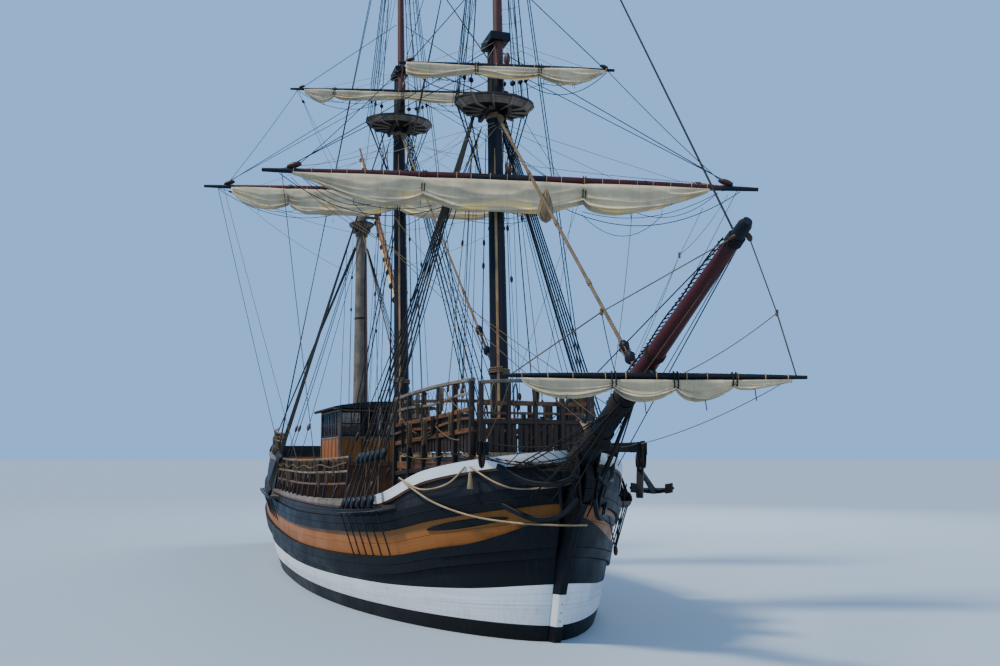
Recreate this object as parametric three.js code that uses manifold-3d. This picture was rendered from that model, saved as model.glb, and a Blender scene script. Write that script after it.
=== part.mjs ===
// A three-masted square-rigged wooden ship, full size, in millimetres.
// +X is forward, +Y is to port, +Z is up. The origin is amidships on the waterline.
import * as THREE from 'three';
import { mergeVertices } from 'three/addons/utils/BufferGeometryUtils.js';
import Module from 'manifold-3d';

const wasm = await Module();
wasm.setup();

// driving dimensions
const GAP = 0.3;                   // between pieces that touch
const FRAME_SPAN = 12000;          // half the length that the frames are spread over
const KEEL_TOP = -3300;
const BOW_END_HALF = 140;          // half width of the hull where it meets the stem
const STEM_HALF = 136;             // half thickness of stem, keel and sternpost
const WALE_AFT = -12600;           // where the wales stop, short of the stern's corner
const RABBET = 60;                 // how far the posts are let in before the hull is cut out
const MAIN_DECK = 1350;
const QUARTERDECK = 3300;
const QUARTERDECK_FRONT = -3200;
const FORECASTLE_DECK = 3600;
const PLANK_WALL = 110;            // thickness of the bulwarks
const CAP_WIDTH = 240;
const CAP_HEIGHT = 90;
const BRACE = THREE.MathUtils.degToRad(20);   // the yards lie braced, port arm forward
const TILT = THREE.MathUtils.degToRad(3.8);   // and hang a little low to port
const SADDLE = 110;                // between a yard and the spar that carries it

// The hull by level: the stem's and stern's place, the half width amidships and at the stern,
// and how full each end is (power of the length, then of the width).
const LEVELS = [
  // z, stemX, sternX, half, sternHalf, bowLength, bowWidth, sternLength, sternWidth
  [-3300, 9300, -11900, 170, 140, 3.0, 0.9, 3.0, 0.9],
  [-3050, 9900, -11950, 1300, 140, 2.4, 1.1, 2.0, 1.5],
  [-2500, 10600, -12050, 2350, 140, 2.2, 1.1, 2.0, 1.4],
  [-1600, 11200, -12200, 3050, 140, 2.2, 1.0, 2.1, 1.25],
  [-700, 11550, -12350, 3360, 140, 2.3, 0.85, 2.3, 1.1],
  [0, 11800, -12480, 3500, 160, 2.4, 0.72, 2.5, 0.95],
  [700, 12020, -12600, 3660, 900, 2.6, 0.75, 2.7, 0.85],
  [1600, 12280, -12800, 3760, 1900, 2.8, 0.78, 2.8, 0.75],
  [2500, 12560, -13150, 3700, 2350, 3.0, 0.75, 2.8, 0.75],
  [3600, 12850, -13650, 3520, 2450, 3.0, 0.7, 2.6, 0.8],
  [5200, 13150, -14300, 3150, 2250, 3.0, 0.7, 2.4, 0.85],
];

// Heights along the ship: the rails' top, and the middle of each wale.
const WAIST_RAIL = [
  // x, z
  [-3200, 2480], [4000, 2480], [8600, 2700], [10350, 3250], [12900, 3640], [13600, 3700],
];
const QUARTER_RAIL = [[-15000, 4050], [-9000, 3650], [-3200, 3450]];
const WALES = [
  // x, upper, main
  [-14300, 2950, 2150],
  [-9000, 2450, 1600],
  [-3200, 2050, 1250],
  [0, 1950, 1130],
  [4000, 1930, 1080],
  [8600, 2090, 1200],
  [10350, 2420, 1500],
  [13600, 3000, 2030],
];

// The masts: their place at the waterline, how far they lean aft for each unit of height,
// and their heights and radii. The topmast stands ahead of the lower masthead.
const MASTS = {
  fore: {
    x: 8850, lean: 0.055, foot: MAIN_DECK, top: 11750, cap: 13350, head: 21800,
    footRadius: 235, topRadius: 175, rim: 990, topmastRadius: 115, headRadius: 60, ahead: 330,
  },
  main: {
    x: -640, lean: 0.087, foot: MAIN_DECK, top: 14550, cap: 16350, head: 25000,
    footRadius: 265, topRadius: 190, rim: 1140, topmastRadius: 125, headRadius: 65, ahead: 350,
  },
  mizzen: {
    x: -7750, lean: 0.045, foot: QUARTERDECK, top: 12450, cap: 13900, head: 13900,
    footRadius: 300, topRadius: 205, rim: 490, topmastRadius: 0, headRadius: 70, ahead: 0,
  },
};

// The square yards: height, half length, how far the middle lies to port of the mast, radius at
// the middle and the ends, and the sail that hangs below each in bights, as its drop and
// thickness. The topsail yards are on the topmast.
const YARDS = {
  fore_course: { mast: 'fore', upper: false, z: 9910, half: 5780, shift: 300, mid: 120, end: 45,
    drop: 700, thick: 440, bights: [[-5020, -1950], [-1950, 1760], [1760, 4650]] },
  fore_topsail: { mast: 'fore', upper: true, z: 12620, half: 2540, shift: 200, mid: 60, end: 32,
    drop: 390, thick: 240, bights: [[-2360, -700], [-700, 790], [790, 2320]] },
  main_course: { mast: 'main', upper: false, z: 12130, half: 6450, shift: 0, mid: 125, end: 45,
    drop: 780, thick: 460, bights: [[-5500, -3560], [-3560, 0], [0, 3600], [3600, 5500]] },
  main_topsail: { mast: 'main', upper: true, z: 15560, half: 3800, shift: 100, mid: 75, end: 35,
    drop: 430, thick: 260, bights: [[-3310, -2300], [-2300, 0], [0, 2300], [2300, 3350]] },
};

const BOWSPRIT = { heel: [10150, 0, 1740], tip: [18850, 0, 6660], heelRadius: 262,
  bendRadius: 215, tipRadius: 98 };
const SPRITSAIL = { x: 15950, half: 2400, shift: 0, mid: 60, end: 30, saddle: 60, tilt: 0.5,
  drop: 340, thick: 220, bights: [[-2080, -640], [-640, 330], [330, 1250], [1250, 2150]] };
const LATEEN = { low: [-4100, 8600], peak: [-12350, 17000], side: 640, slung: 0.51 };
const RUDDER_AXIS = { low: [-12330, -3300], high: [-12960, 1500] };
const PINTLE = 62;
const STERNPOST_TOP = 620;
const KEEL_BOTTOM = -3620;
const CAPSTAN_X = 3300;

const finish = (color, roughness, metalness = 0) =>
  new THREE.MeshStandardMaterial({ color, roughness, metalness });
const BLACK = 0x14171d;
const SPAR_BLACK = 0x1e222b;
const ship = new THREE.Group();

function place(name, geometry, color, roughness = 0.6, metalness = 0) {
  const mesh = new THREE.Mesh(geometry, finish(color, roughness, metalness));
  mesh.name = name;
  ship.add(mesh);
  return mesh;
}

// Shapes as closed meshes

function volumeOf(points, faces) {
  let sum = 0;
  for (const [a, b, c] of faces) {
    const cross = new THREE.Vector3().crossVectors(points[b], points[c]);
    sum += points[a].dot(cross);
  }
  return sum / 6;
}

function geometryFrom(points, faces) {
  const outward = volumeOf(points, faces) > 0;
  const index = faces.flatMap(([a, b, c]) => (outward ? [a, b, c] : [a, c, b]));
  const geometry = new THREE.BufferGeometry();
  geometry.setAttribute('position', new THREE.Float32BufferAttribute(
    points.flatMap((p) => [p.x, p.y, p.z]), 3));
  geometry.setIndex(index);
  return geometry;
}

// A ring's own triangles, seen along its normal.
function capFaces(ring) {
  const normal = new THREE.Vector3();
  ring.forEach((p, i) => {
    const q = ring[(i + 1) % ring.length];
    normal.add(new THREE.Vector3(
      (p.y - q.y) * (p.z + q.z), (p.z - q.z) * (p.x + q.x), (p.x - q.x) * (p.y + q.y)));
  });
  normal.normalize();
  const helper = Math.abs(normal.z) < 0.9
    ? new THREE.Vector3(0, 0, 1) : new THREE.Vector3(1, 0, 0);
  const across = new THREE.Vector3().crossVectors(helper, normal).normalize();
  const along = new THREE.Vector3().crossVectors(normal, across);
  const flat = ring.map((p) => new THREE.Vector2(p.dot(across), p.dot(along)));
  return THREE.ShapeUtils.triangulateShape(flat, []);
}

// The same for a ring that goes up one side and down the other, as a ladder of level strips.
function ladderFaces(ring) {
  const last = ring.length - 1;
  return Array.from({ length: ring.length / 2 - 1 }, (_, i) => [
    [i, i + 1, last - i - 1], [i, last - i - 1, last - i]]).flat();
}

// A closed skin through rings that all have the same number of points.
function loft(rings, endFaces = capFaces) {
  const count = rings[0].length;
  const points = rings.flat();
  const faces = [];
  for (let r = 0; r + 1 < rings.length; r += 1) {
    for (let i = 0; i < count; i += 1) {
      const j = (i + 1) % count;
      const [a, b, c, d] = [r * count + i, r * count + j, (r + 1) * count + j, (r + 1) * count + i];
      faces.push([a, b, c], [a, c, d]);
    }
  }
  const last = (rings.length - 1) * count;
  for (const [a, b, c] of endFaces(rings[0])) faces.push([c, b, a]);
  for (const [a, b, c] of endFaces(rings.at(-1))) faces.push([last + a, last + b, last + c]);
  return geometryFrom(points, faces);
}

function toSolid(geometry) {
  const bare = geometry.clone();
  bare.deleteAttribute('normal');
  bare.deleteAttribute('uv');
  const merged = mergeVertices(bare, 1e-3);
  return new wasm.Manifold(new wasm.Mesh({
    numProp: 3,
    vertProperties: new Float32Array(merged.attributes.position.array),
    triVerts: new Uint32Array(merged.index.array),
  }));
}

function fromSolid(solid) {
  const result = solid.getMesh();
  const geometry = new THREE.BufferGeometry();
  geometry.setAttribute('position', new THREE.BufferAttribute(
    new Float32Array(result.vertProperties), 3));
  geometry.setIndex(new THREE.BufferAttribute(new Uint32Array(result.triVerts), 1));
  return geometry;
}

const fuse = (parts) => fromSolid(parts.map(toSolid).reduce((all, one) => all.add(one)));
const cut = (body, tools) => fromSolid(
  tools.map(toSolid).reduce((left, tool) => left.subtract(tool), toSolid(body)));
const common = (body, tools) => fromSolid(
  tools.map(toSolid).reduce((left, tool) => left.intersect(tool), toSolid(body)));

function block(x0, x1, y0, y1, z0, z1) {
  const geometry = new THREE.BoxGeometry(x1 - x0, y1 - y0, z1 - z0);
  return geometry.translate((x0 + x1) / 2, (y0 + y1) / 2, (z0 + z1) / 2);
}

const vec = (x, y, z) => new THREE.Vector3(x, y, z);

// A beam of square section between two points, its sides kept upright.
function beam(from, to, width, height) {
  const way = to.clone().sub(from).normalize();
  const side = new THREE.Vector3().crossVectors(vec(0, 0, 1), way).normalize();
  const up = new THREE.Vector3().crossVectors(way, side);
  const ring = (centre) => [[-1, -1], [1, -1], [1, 1], [-1, 1]].map(([s, u]) => centre.clone()
    .addScaledVector(side, s * width / 2).addScaledVector(up, u * height / 2));
  return loft([ring(from), ring(to)]);
}

// A round spar between two points, its radius given at fractions of its length. Its first
// corner lies along the direction given.
function spar(from, to, radii, sides = 12, corner = vec(0, 0, -1)) {
  const way = to.clone().sub(from).normalize();
  const first = corner.clone().addScaledVector(way, -corner.dot(way)).normalize();
  const second = new THREE.Vector3().crossVectors(way, first);
  return loft(radii.map(([fraction, radius]) => {
    const centre = from.clone().lerp(to, fraction);
    return Array.from({ length: sides }, (_, i) => {
      const turn = (2 * Math.PI * i) / sides;
      return centre.clone().addScaledVector(first, radius * Math.cos(turn))
        .addScaledVector(second, radius * Math.sin(turn));
    });
  }));
}

// The hull's surface

// A column of a table, on a smooth curve through its rows.
function smooth(table, value, column) {
  const last = table.length - 1;
  let i = 0;
  while (i < last - 1 && value > table[i + 1][0]) i += 1;
  const row = (n) => table[THREE.MathUtils.clamp(n, 0, last)];
  const slope = (n) => {
    const [a, b] = [row(n - 1), row(n + 1)];
    return (b[column] - a[column]) / (b[0] - a[0]);
  };
  const [a, b] = [row(i), row(i + 1)];
  const span = b[0] - a[0];
  const t = THREE.MathUtils.clamp((value - a[0]) / span, 0, 1);
  const [t2, t3] = [t * t, t * t * t];
  return a[column] * (2 * t3 - 3 * t2 + 1) + b[column] * (3 * t2 - 2 * t3)
    + slope(i) * span * (t3 - 2 * t2 + t) + slope(i + 1) * span * (t3 - t2);
}

// Where a station lies: along runs from -1 at the stern to 1 at the stem, and the frames
// stand upright except near the ends, where they take up the rake.
function stationX(along, z) {
  const far = Math.abs(along);
  const end = Math.abs(smooth(LEVELS, z, along > 0 ? 1 : 2));
  return Math.sign(along) * (FRAME_SPAN * far + (end - FRAME_SPAN) * far ** 5);
}

// The hull's half width at a place.
function halfWidth(x, z) {
  const level = (column) => smooth(LEVELS, z, column);
  const bow = x > 0;
  const share = Math.min(1, Math.abs(x / level(bow ? 1 : 2)));
  const endHalf = bow ? BOW_END_HALF : level(4);
  const [lengthPower, widthPower] = bow ? [level(5), level(6)] : [level(7), level(8)];
  return endHalf + (level(3) - endHalf) * (1 - share ** lengthPower) ** widthPower;
}

function hullPoint(along, z) {
  const x = stationX(along, z);
  return { x, y: halfWidth(x, z) };
}

// Unit outward direction of the side, seen from above, for port.
function sideNormal(along, z) {
  const step = 0.004;
  const [low, high] = [Math.max(-1, along - step), Math.min(1, along + step)];
  const [a, b] = [hullPoint(low, z), hullPoint(high, z)];
  const length = Math.hypot(b.x - a.x, b.y - a.y);
  return { x: (a.y - b.y) / length, y: (b.x - a.x) / length };
}

// Stations close together towards both ends.
const STATIONS = Array.from({ length: 37 }, (_, i) => Math.sin((i / 36 - 0.5) * Math.PI));
const BOTTOM_ROWS = [-3300, -3050, -2600, -2000, -1300, -600, 0];
const TOP_ROWS = [600, 1200, 1900, 2600, 3500, 5300];

// The whole outer form of the ship's sides, pushed outward or inward by a distance.
function form(out, rows = TOP_ROWS) {
  return loft(STATIONS.map((along) => {
    const port = rows.map((z) => {
      const base = hullPoint(along, z);
      const normal = sideNormal(along, z);
      return vec(base.x + normal.x * out, base.y + normal.y * out, z);
    });
    return [...port, ...port.map((p) => vec(p.x, -p.y, p.z)).reverse()];
  }), ladderFaces);
}

// What lies between two heights along the ship, right across it.
function band(from, to, lowAt, highAt, steps = 12) {
  const xs = Array.from({ length: steps + 1 }, (_, i) => THREE.MathUtils.lerp(from, to, i / steps));
  return plate([...xs.map((x) => [x, lowAt(x)]), ...xs.map((x) => [x, highAt(x)]).reverse()],
    7000);
}

const halfOf = (sign) => block(-16000, 20000, sign > 0 ? GAP / 2 : -7000,
  sign > 0 ? 7000 : -GAP / 2, -5000, 30000);

// A layer of the sides between two distances outward, within a band, on one side.
function layer(sign, inner, outer, zone) {
  return common(cut(form(outer), [form(inner)]), [zone, halfOf(sign)]);
}

function hullSolid() {
  const aft = block(-16000, QUARTERDECK_FRONT, -7000, 7000, -5000, QUARTERDECK);
  const fore = block(QUARTERDECK_FRONT - 10, 16000, -7000, 7000, -5000, MAIN_DECK);
  return common(form(0, [...BOTTOM_ROWS, ...TOP_ROWS]), [fuse([aft, fore])]);
}

// Backbone: keel, stem with the knee of the head, and sternpost

function keelSolid() {
  const [scarf, sunk] = [20, 30];
  return block(-11900 - scarf, 9300 + scarf, -STEM_HALF, STEM_HALF, KEEL_BOTTOM, KEEL_TOP + sunk);
}

// A flat piece from its outline in length and height, as thick as stated on each side.
function plate(outline, halfThickness) {
  const shape = new THREE.Shape(outline.map(([x, z]) => new THREE.Vector2(x, z)));
  const geometry = new THREE.ExtrudeGeometry(shape, {
    depth: 2 * halfThickness, bevelEnabled: false, steps: 1,
  });
  return geometry.translate(0, 0, -halfThickness).rotateX(Math.PI / 2);
}

function stemSolid() {
  const heights = [-3300, -3050, -2500, -1600, -700, 0, 700, 1600, 2400, 2950];
  const inner = heights.map((z) => [smooth(LEVELS, z, 1) - RABBET, z]);
  const head = [
    [12950, 3080], [13300, 3420], [13560, 3380], [13640, 3120], [13500, 2800], [13140, 2430],
    [12820, 2000], [12520, 1450], [12260, 850], [12000, 0],
  ];
  const forefoot = [[11460, -1600], [10950, -2600], [10200, -3250], [9300, KEEL_BOTTOM]];
  return plate([...inner, ...head, ...forefoot], STEM_HALF);
}

function axisX(z) {
  const { low, high } = RUDDER_AXIS;
  return low[0] + (high[0] - low[0]) * (z - low[1]) / (high[1] - low[1]);
}

function sternpostSolid() {
  const heights = [-3300, -2500, -1600, -700, 0, STERNPOST_TOP];
  const inner = heights.map((z) => [smooth(LEVELS, z, 2) + RABBET, z]);
  const slant = 0.7;               // what the hinge line's rake takes off the gap
  const outer = [STERNPOST_TOP, KEEL_BOTTOM].map((z) => [axisX(z) + PINTLE + GAP + slant, z]);
  return plate([...inner, ...outer, [-11900, KEEL_BOTTOM]], STEM_HALF);
}

// The blade behind its hinge line, with the round barrels of the pintles.
function rudderSolid() {
  const [lead, half, trail, shoulder] = [50, 95, 60, 260];
  const rings = [[-3560, 1250], [-1800, 1150], [400, 820], [2050, 560]].map(([z, chord]) => {
    const x = axisX(z);
    const nose = [-60, -30, 0, 30, 60].map((turn) => {
      const angle = THREE.MathUtils.degToRad(turn);
      return vec(x + lead * Math.cos(angle), lead * Math.sin(angle), z);
    });
    return [...nose, vec(x - shoulder, half, z), vec(x - chord, trail, z),
      vec(x - chord, -trail, z), vec(x - shoulder, -half, z)];
  });
  const pintles = [-3000, -1500, -100].map((z) => spar(
    vec(axisX(z), 0, z), vec(axisX(z + 260), 0, z + 260), [[0, PINTLE], [1, PINTLE]], 16,
    vec(1, 0, 0)));
  return fuse([loft(rings), ...pintles]);
}

// Keel, stem and sternpost in one, cut to the hull below the deck.
function backboneSolid() {
  const rows = [KEEL_TOP - GAP, ...BOTTOM_ROWS.slice(1), ...TOP_ROWS];
  const decked = common(form(GAP, rows),
    [block(-16000, 16000, -7000, 7000, -5000, MAIN_DECK + GAP)]);
  const holes = [-GAP, GAP].map((shift) => decked.clone().translate(shift, 0, 0));
  return cut(fuse([keelSolid(), stemSolid(), sternpostSolid()]), [...holes, bowspritSolid(GAP)]);
}

// Belts along the side

function waleSolid(sign, column, half) {
  const middle = (x) => smooth(WALES, x, column);
  const outer = 70;
  const belt = layer(sign, GAP, outer, band(WALE_AFT, 13600, (x) => middle(x) - half,
    (x) => middle(x) + half));
  return cut(belt, [stemGrown(), bowspritSolid(GAP)]);
}

// The bulwark's plank wall with its cap, from a deck's edge up to the rail.
function bulwarkSolid(sign, from, to, deck, rail) {
  const lip = (CAP_WIDTH - PLANK_WALL) / 2;
  const top = (x) => smooth(rail, x, 1);
  const wall = layer(sign, -PLANK_WALL, 0, band(from, to, () => deck + GAP,
    (x) => top(x) - CAP_HEIGHT / 2));
  const cap = layer(sign, -PLANK_WALL - lip, lip, band(from, to,
    (x) => top(x) - CAP_HEIGHT, top));
  return fuse([wall, cap]);
}

// A channel: the shelf that spreads the shrouds, just above the upper wale.
function channelSolid(sign, from, to) {
  const [width, thick, rise] = [340, 75, 250];
  const low = (x) => smooth(WALES, x, 1) + rise;
  return layer(sign, GAP, width, band(from, to, low, (x) => low(x) + thick, 3));
}

// Forecastle: a platform carried between two side frames of posts and open rails

const FRAME_AFT = [7400, 2140];
const FRAME_FORE = [10700, 1330];
const DECK_FORE = [11500, 1180];
const POST = 110;

function sideFrameSolid(sign) {
  const onLine = (t, z) => vec(
    THREE.MathUtils.lerp(FRAME_AFT[0], FRAME_FORE[0], t),
    sign * THREE.MathUtils.lerp(FRAME_AFT[1], FRAME_FORE[1], t), z);
  const [topAft, topFore, posts] = [4830, 5080, 6];
  const topAt = (t) => THREE.MathUtils.lerp(topAft, topFore, t);
  const pieces = Array.from({ length: posts }, (_, i) => {
    const t = i / (posts - 1);
    const foot = onLine(t, MAIN_DECK + GAP);
    return block(foot.x - POST / 2, foot.x + POST / 2, foot.y - POST / 2, foot.y + POST / 2,
      foot.z, topAt(t));
  });
  for (const rise of [-1700, -1020, -600, -40]) {
    pieces.push(beam(onLine(-0.02, topAft + rise), onLine(1.02, topFore + rise), 70, 110));
  }
  return fuse(pieces);
}

function forecastleDeckSolid() {
  const [thick, clear] = [90, POST / 2 + 14];
  const port = [[FRAME_AFT[0], FRAME_AFT[1] - clear], [FRAME_FORE[0], FRAME_FORE[1] - clear],
    DECK_FORE];
  const outline = [...port, ...port.map(([x, y]) => [x, -y]).reverse()];
  const ring = (z) => outline.map(([x, y]) => vec(x, y, z));
  return cut(loft([ring(FORECASTLE_DECK - thick), ring(FORECASTLE_DECK)]),
    [lowerMast('fore', GAP), bowspritSolid(GAP)]);
}

// A breast rail across the ship at a given place.
function breastRailSolid(x, half, top, count) {
  const pieces = Array.from({ length: count }, (_, i) => {
    const y = THREE.MathUtils.lerp(-half, half, i / (count - 1));
    return block(x - 50, x + 50, y - 50, y + 50, FORECASTLE_DECK + GAP, top);
  });
  for (const drop of [0, 420, 800]) {
    pieces.push(block(x - 45, x + 45, -half - 60, half + 60, top - drop - 55, top - drop + 55));
  }
  return fuse(pieces);
}

// Cabin on the quarterdeck under a cambered roof
function cabinSolid() {
  const [aft, fore, half, wall, eaves, camber] = [-7350, -3500, 1550, 5120, 260, 190];
  const body = block(aft, fore, -half, half, QUARTERDECK + GAP, wall + 20);
  const arc = Array.from({ length: 9 }, (_, i) => {
    const y = THREE.MathUtils.lerp(-half - eaves, half + eaves, i / 8);
    return [y, wall + 60 + camber * (1 - (y / (half + eaves)) ** 2)];
  });
  const section = [...arc, [half + eaves, wall], [-half - eaves, wall]];
  const ring = (x) => section.map(([y, z]) => vec(x, y, z));
  return fuse([body, loft([ring(aft - eaves), ring(fore + eaves)])]);
}

// Deck fittings

function hatchSolid() {
  const [aft, fore, half, height, wall, sunk] = [500, 2300, 850, 300, 110, 60];
  const coaming = block(aft, fore, -half, half, MAIN_DECK + GAP, MAIN_DECK + height);
  const well = block(aft + wall, fore - wall, -half + wall, half - wall,
    MAIN_DECK + height - sunk, MAIN_DECK + height + 50);
  return cut(coaming, [well]);
}

function capstanSolid() {
  const profile = [[0, 0], [90, 0], [90, 25], [380, 25], [380, 120], [250, 180], [205, 420],
    [250, 700], [330, 730], [330, 900], [60, 930], [0, 930]];
  const drum = new THREE.LatheGeometry(profile.map(([r, z]) => new THREE.Vector2(r, z)), 20);
  return drum.rotateX(Math.PI / 2).translate(CAPSTAN_X, 0, MAIN_DECK + GAP);
}

// The bitts with a cradle for the bowsprit's heel.
function bittsSolid() {
  const [aft, fore, inner, outer, top] = [10180, 10420, 330, 500, 2350];
  const posts = [1, -1].map((sign) => block(aft, fore, Math.min(sign * inner, sign * outer),
    Math.max(sign * inner, sign * outer), MAIN_DECK + GAP, top));
  const cradle = block(aft, fore, -inner - 20, inner + 20, MAIN_DECK + GAP, 1900);
  return cut(fuse([...posts, cradle]), [bowspritSolid(GAP)]);
}

// Masts. Each has a frame of its own: its foot on the waterline, its own height upwards.

const leanOf = (name) => Math.atan(MASTS[name].lean);
const onMast = (name, z) => z / Math.cos(leanOf(name));
const mastMatrix = (name) => new THREE.Matrix4().makeTranslation(MASTS[name].x, 0, 0)
  .multiply(new THREE.Matrix4().makeRotationY(-leanOf(name)));
const SIDES = 18;

const HEAD_SHARE = 0.86;           // the masthead's radius as a share of that at the top

function mastRadius(name, z) {
  const mast = MASTS[name];
  return z < mast.top
    ? THREE.MathUtils.mapLinear(z, mast.foot, mast.top, mast.footRadius, mast.topRadius)
    : THREE.MathUtils.mapLinear(z, mast.top, mast.cap, mast.topRadius, mast.topRadius * HEAD_SHARE);
}

// The lower mast, or with grow the hole that it needs.
function lowerMast(name, grow = 0) {
  const mast = MASTS[name];
  const seat = mast.footRadius * Math.sin(leanOf(name)) + GAP;
  const foot = onMast(name, mast.foot + seat);
  const head = onMast(name, mast.cap);
  const heights = [foot, onMast(name, mast.top), head];
  const radii = [mast.footRadius, mast.topRadius, mast.topRadius * HEAD_SHARE];
  // A corner of the mast faces the yard that swings on it.
  const corner = name === 'mizzen' ? vec(0, 1, 0) : vec(1, 0, 0);
  return spar(vec(0, 0, foot), vec(0, 0, head), heights.map((z, i) => [
    (z - foot) / (head - foot), radii[i] + grow]), SIDES, corner)
    .applyMatrix4(mastMatrix(name));
}

const TOP_HEIGHT = 200;
const TOP_FLOOR = 80;
const TOP_LENGTH = { fore: 0.68, main: 0.68, mizzen: 1 };   // as a share of their width

// The top: an oval floor with a flared wall, and a round hole in the middle for the mast.
function topSolid(name) {
  const mast = MASTS[name];
  const hole = mastRadius(name, mast.top) + GAP;
  const foot = mast.rim - 200;
  const profile = [[hole, 0], [foot, 0], [mast.rim, TOP_HEIGHT], [mast.rim - 70, TOP_HEIGHT],
    [foot - 30, TOP_FLOOR], [hole, TOP_FLOOR], [hole, 0]];
  const bowl = new THREE.LatheGeometry(profile.map(([r, z]) => new THREE.Vector2(r, z)), 36)
    .rotateX(Math.PI / 2);
  const at = bowl.attributes.position;
  for (let i = 0; i < at.count; i += 1) {
    if (Math.hypot(at.getX(i), at.getY(i)) > hole + 1) {
      at.setX(i, at.getX(i) * TOP_LENGTH[name]);
    }
  }
  return bowl.translate(0, 0, onMast(name, mast.top)).applyMatrix4(mastMatrix(name));
}

// The topmast's radius at its foot, at its shoulder and at its head, by share of its length.
const topmastTaper = (mast) => [[0, mast.topmastRadius], [0.25, mast.topmastRadius * 0.97],
  [1, mast.headRadius]];

function topmastRadius(name, z) {
  const mast = MASTS[name];
  const foot = mast.top + TOP_FLOOR;
  const share = (z - foot) / (mast.head - foot);
  const taper = topmastTaper(mast);
  const [[a, low], [b, high]] = share < taper[1][0] ? taper : taper.slice(1);
  return THREE.MathUtils.lerp(low, high, (share - a) / (b - a));
}

function topmastSolid(name, grow = 0) {
  const mast = MASTS[name];
  const foot = onMast(name, mast.top) + TOP_FLOOR + GAP;
  const head = onMast(name, mast.head);
  const radii = topmastTaper(mast).map(([share, radius]) => [share, radius + grow]);
  return spar(vec(mast.ahead, 0, foot), vec(mast.ahead, 0, head), radii, SIDES, vec(1, 0, 0))
    .applyMatrix4(mastMatrix(name));
}

// The cap that holds the topmast to the lower masthead.
function capSolid(name) {
  const mast = MASTS[name];
  const [half, thick] = [240, 190];
  const top = onMast(name, mast.cap);
  const piece = block(-half, mast.ahead + half - 30, -half, half, top + GAP, top + thick)
    .applyMatrix4(mastMatrix(name));
  return cut(piece, [topmastSolid(name, GAP)]);
}

function bowspritSolid(grow = 0) {
  const { heel, tip, heelRadius, bendRadius, tipRadius } = BOWSPRIT;
  const [low, high] = [vec(...heel), vec(...tip)];
  const more = high.clone().sub(low).setLength(grow);
  return spar(low.sub(more), high.add(more), [[0, heelRadius + grow],
    [0.35, bendRadius + grow], [1, tipRadius + grow]], SIDES, vec(0, 0, -1));
}

// Square yards with their sails. A yard turns about the spar that carries it, and its own
// frame has that spar's axis at the origin, forward along x and the yard along y.

// The carrying spar's radius is taken at the saddle's foot, where it is widest.
function carrier(yard) {
  const foot = yard.z - yard.mid;
  return yard.upper
    ? { x: MASTS[yard.mast].ahead, radius: topmastRadius(yard.mast, foot) }
    : { x: 0, radius: mastRadius(yard.mast, foot) };
}

function yardMatrix(yard) {
  return mastMatrix(yard.mast)
    .multiply(new THREE.Matrix4().makeTranslation(carrier(yard).x, 0, onMast(yard.mast, yard.z)))
    .multiply(new THREE.Matrix4().makeRotationZ(-BRACE));
}

const tilted = (geometry, ahead) => geometry.applyMatrix4(
  new THREE.Matrix4().makeTranslation(ahead, 0, 0)
    .multiply(new THREE.Matrix4().makeRotationX(-TILT)));

const yardAhead = (yard) => carrier(yard).radius + SADDLE + yard.mid;

// How a yard tapers: a share of its half length, and how far it has gone to the end's radius.
const TAPER = [[0, 0], [0.25, 0.04], [0.5, 0.22], [0.75, 0.55], [1, 1]];

function yardRadius(yard, y) {
  const share = Math.min(1, Math.abs(y) / yard.half);
  const i = Math.max(1, TAPER.findIndex(([at]) => at >= share));
  const [[a, low], [b, high]] = [TAPER[i - 1], TAPER[i]];
  const gone = THREE.MathUtils.lerp(low, high, (share - a) / (b - a));
  return THREE.MathUtils.lerp(yard.mid, yard.end, gone);
}

function yardSpar(yard) {
  const far = TAPER.map(([at]) => at);
  const shares = [...far.slice(1).reverse().map((at) => -at), ...far];
  return spar(vec(0, -yard.half, 0), vec(0, yard.half, 0), shares.map((share) => [
    (share + 1) / 2, yardRadius(yard, share * yard.half)]), 12, vec(0, 0, -1))
    .translate(0, yard.shift, 0);
}

function yardSolid(yard) {
  const ahead = yardAhead(yard);
  const saddle = block(carrier(yard).radius + GAP, ahead, -95, 95, -yard.mid * 0.7,
    yard.mid * 0.7);
  return fuse([tilted(yardSpar(yard), ahead), saddle]).applyMatrix4(yardMatrix(yard));
}

// How far the cloth hangs below the yard's underside.
function bightDepth(yard, y) {
  const bight = yard.bights.find(([from, to]) => y >= from && y <= to);
  if (!bight) return 0;
  const [from, to] = bight;
  const t = (2 * y - from - to) / (to - from);
  const wide = Math.min(1, (to - from) / 2600);
  return yard.drop * wide * Math.sqrt(Math.max(0, 1 - t * t));
}

// A soft roll of cloth in bights, its top edge under the spar.
function bunt(yard) {
  const [least, count] = [0.3, 20];
  const [from, to] = [yard.bights[0][0], yard.bights.at(-1)[1]];
  const places = Array.from({ length: count + 1 }, (_, i) => THREE.MathUtils.lerp(
    from, to, i / count));
  const bends = TAPER.flatMap(([at]) => [-at * yard.half, at * yard.half])
    .filter((y) => y > from && y < to && places.every((place) => Math.abs(place - y) > 5));
  const rings = [...new Set([...places, ...bends])].sort((a, b) => a - b).map((y) => {
    const depth = Math.max(bightDepth(yard, y), least * yard.drop);
    const thick = yard.thick * (0.55 + 0.45 * depth / yard.drop);
    const top = -yardRadius(yard, y) - 2 * GAP;
    return [[-25, 0], [25, 0], [0.48, -0.25], [0.62, -0.6], [0.4, -0.93], [0.1, -1], [-0.22, -0.93],
      [-0.38, -0.6], [-0.3, -0.25]].map(([x, z], n) => vec(
      n < 2 ? x : x * thick, y, top + z * depth));
  });
  return loft(rings).translate(0, yard.shift, 0);
}

function sailSolid(yard) {
  return tilted(bunt(yard), yardAhead(yard)).applyMatrix4(yardMatrix(yard));
}

// Spritsail yard, slung under the bowsprit on a round saddle.

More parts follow.
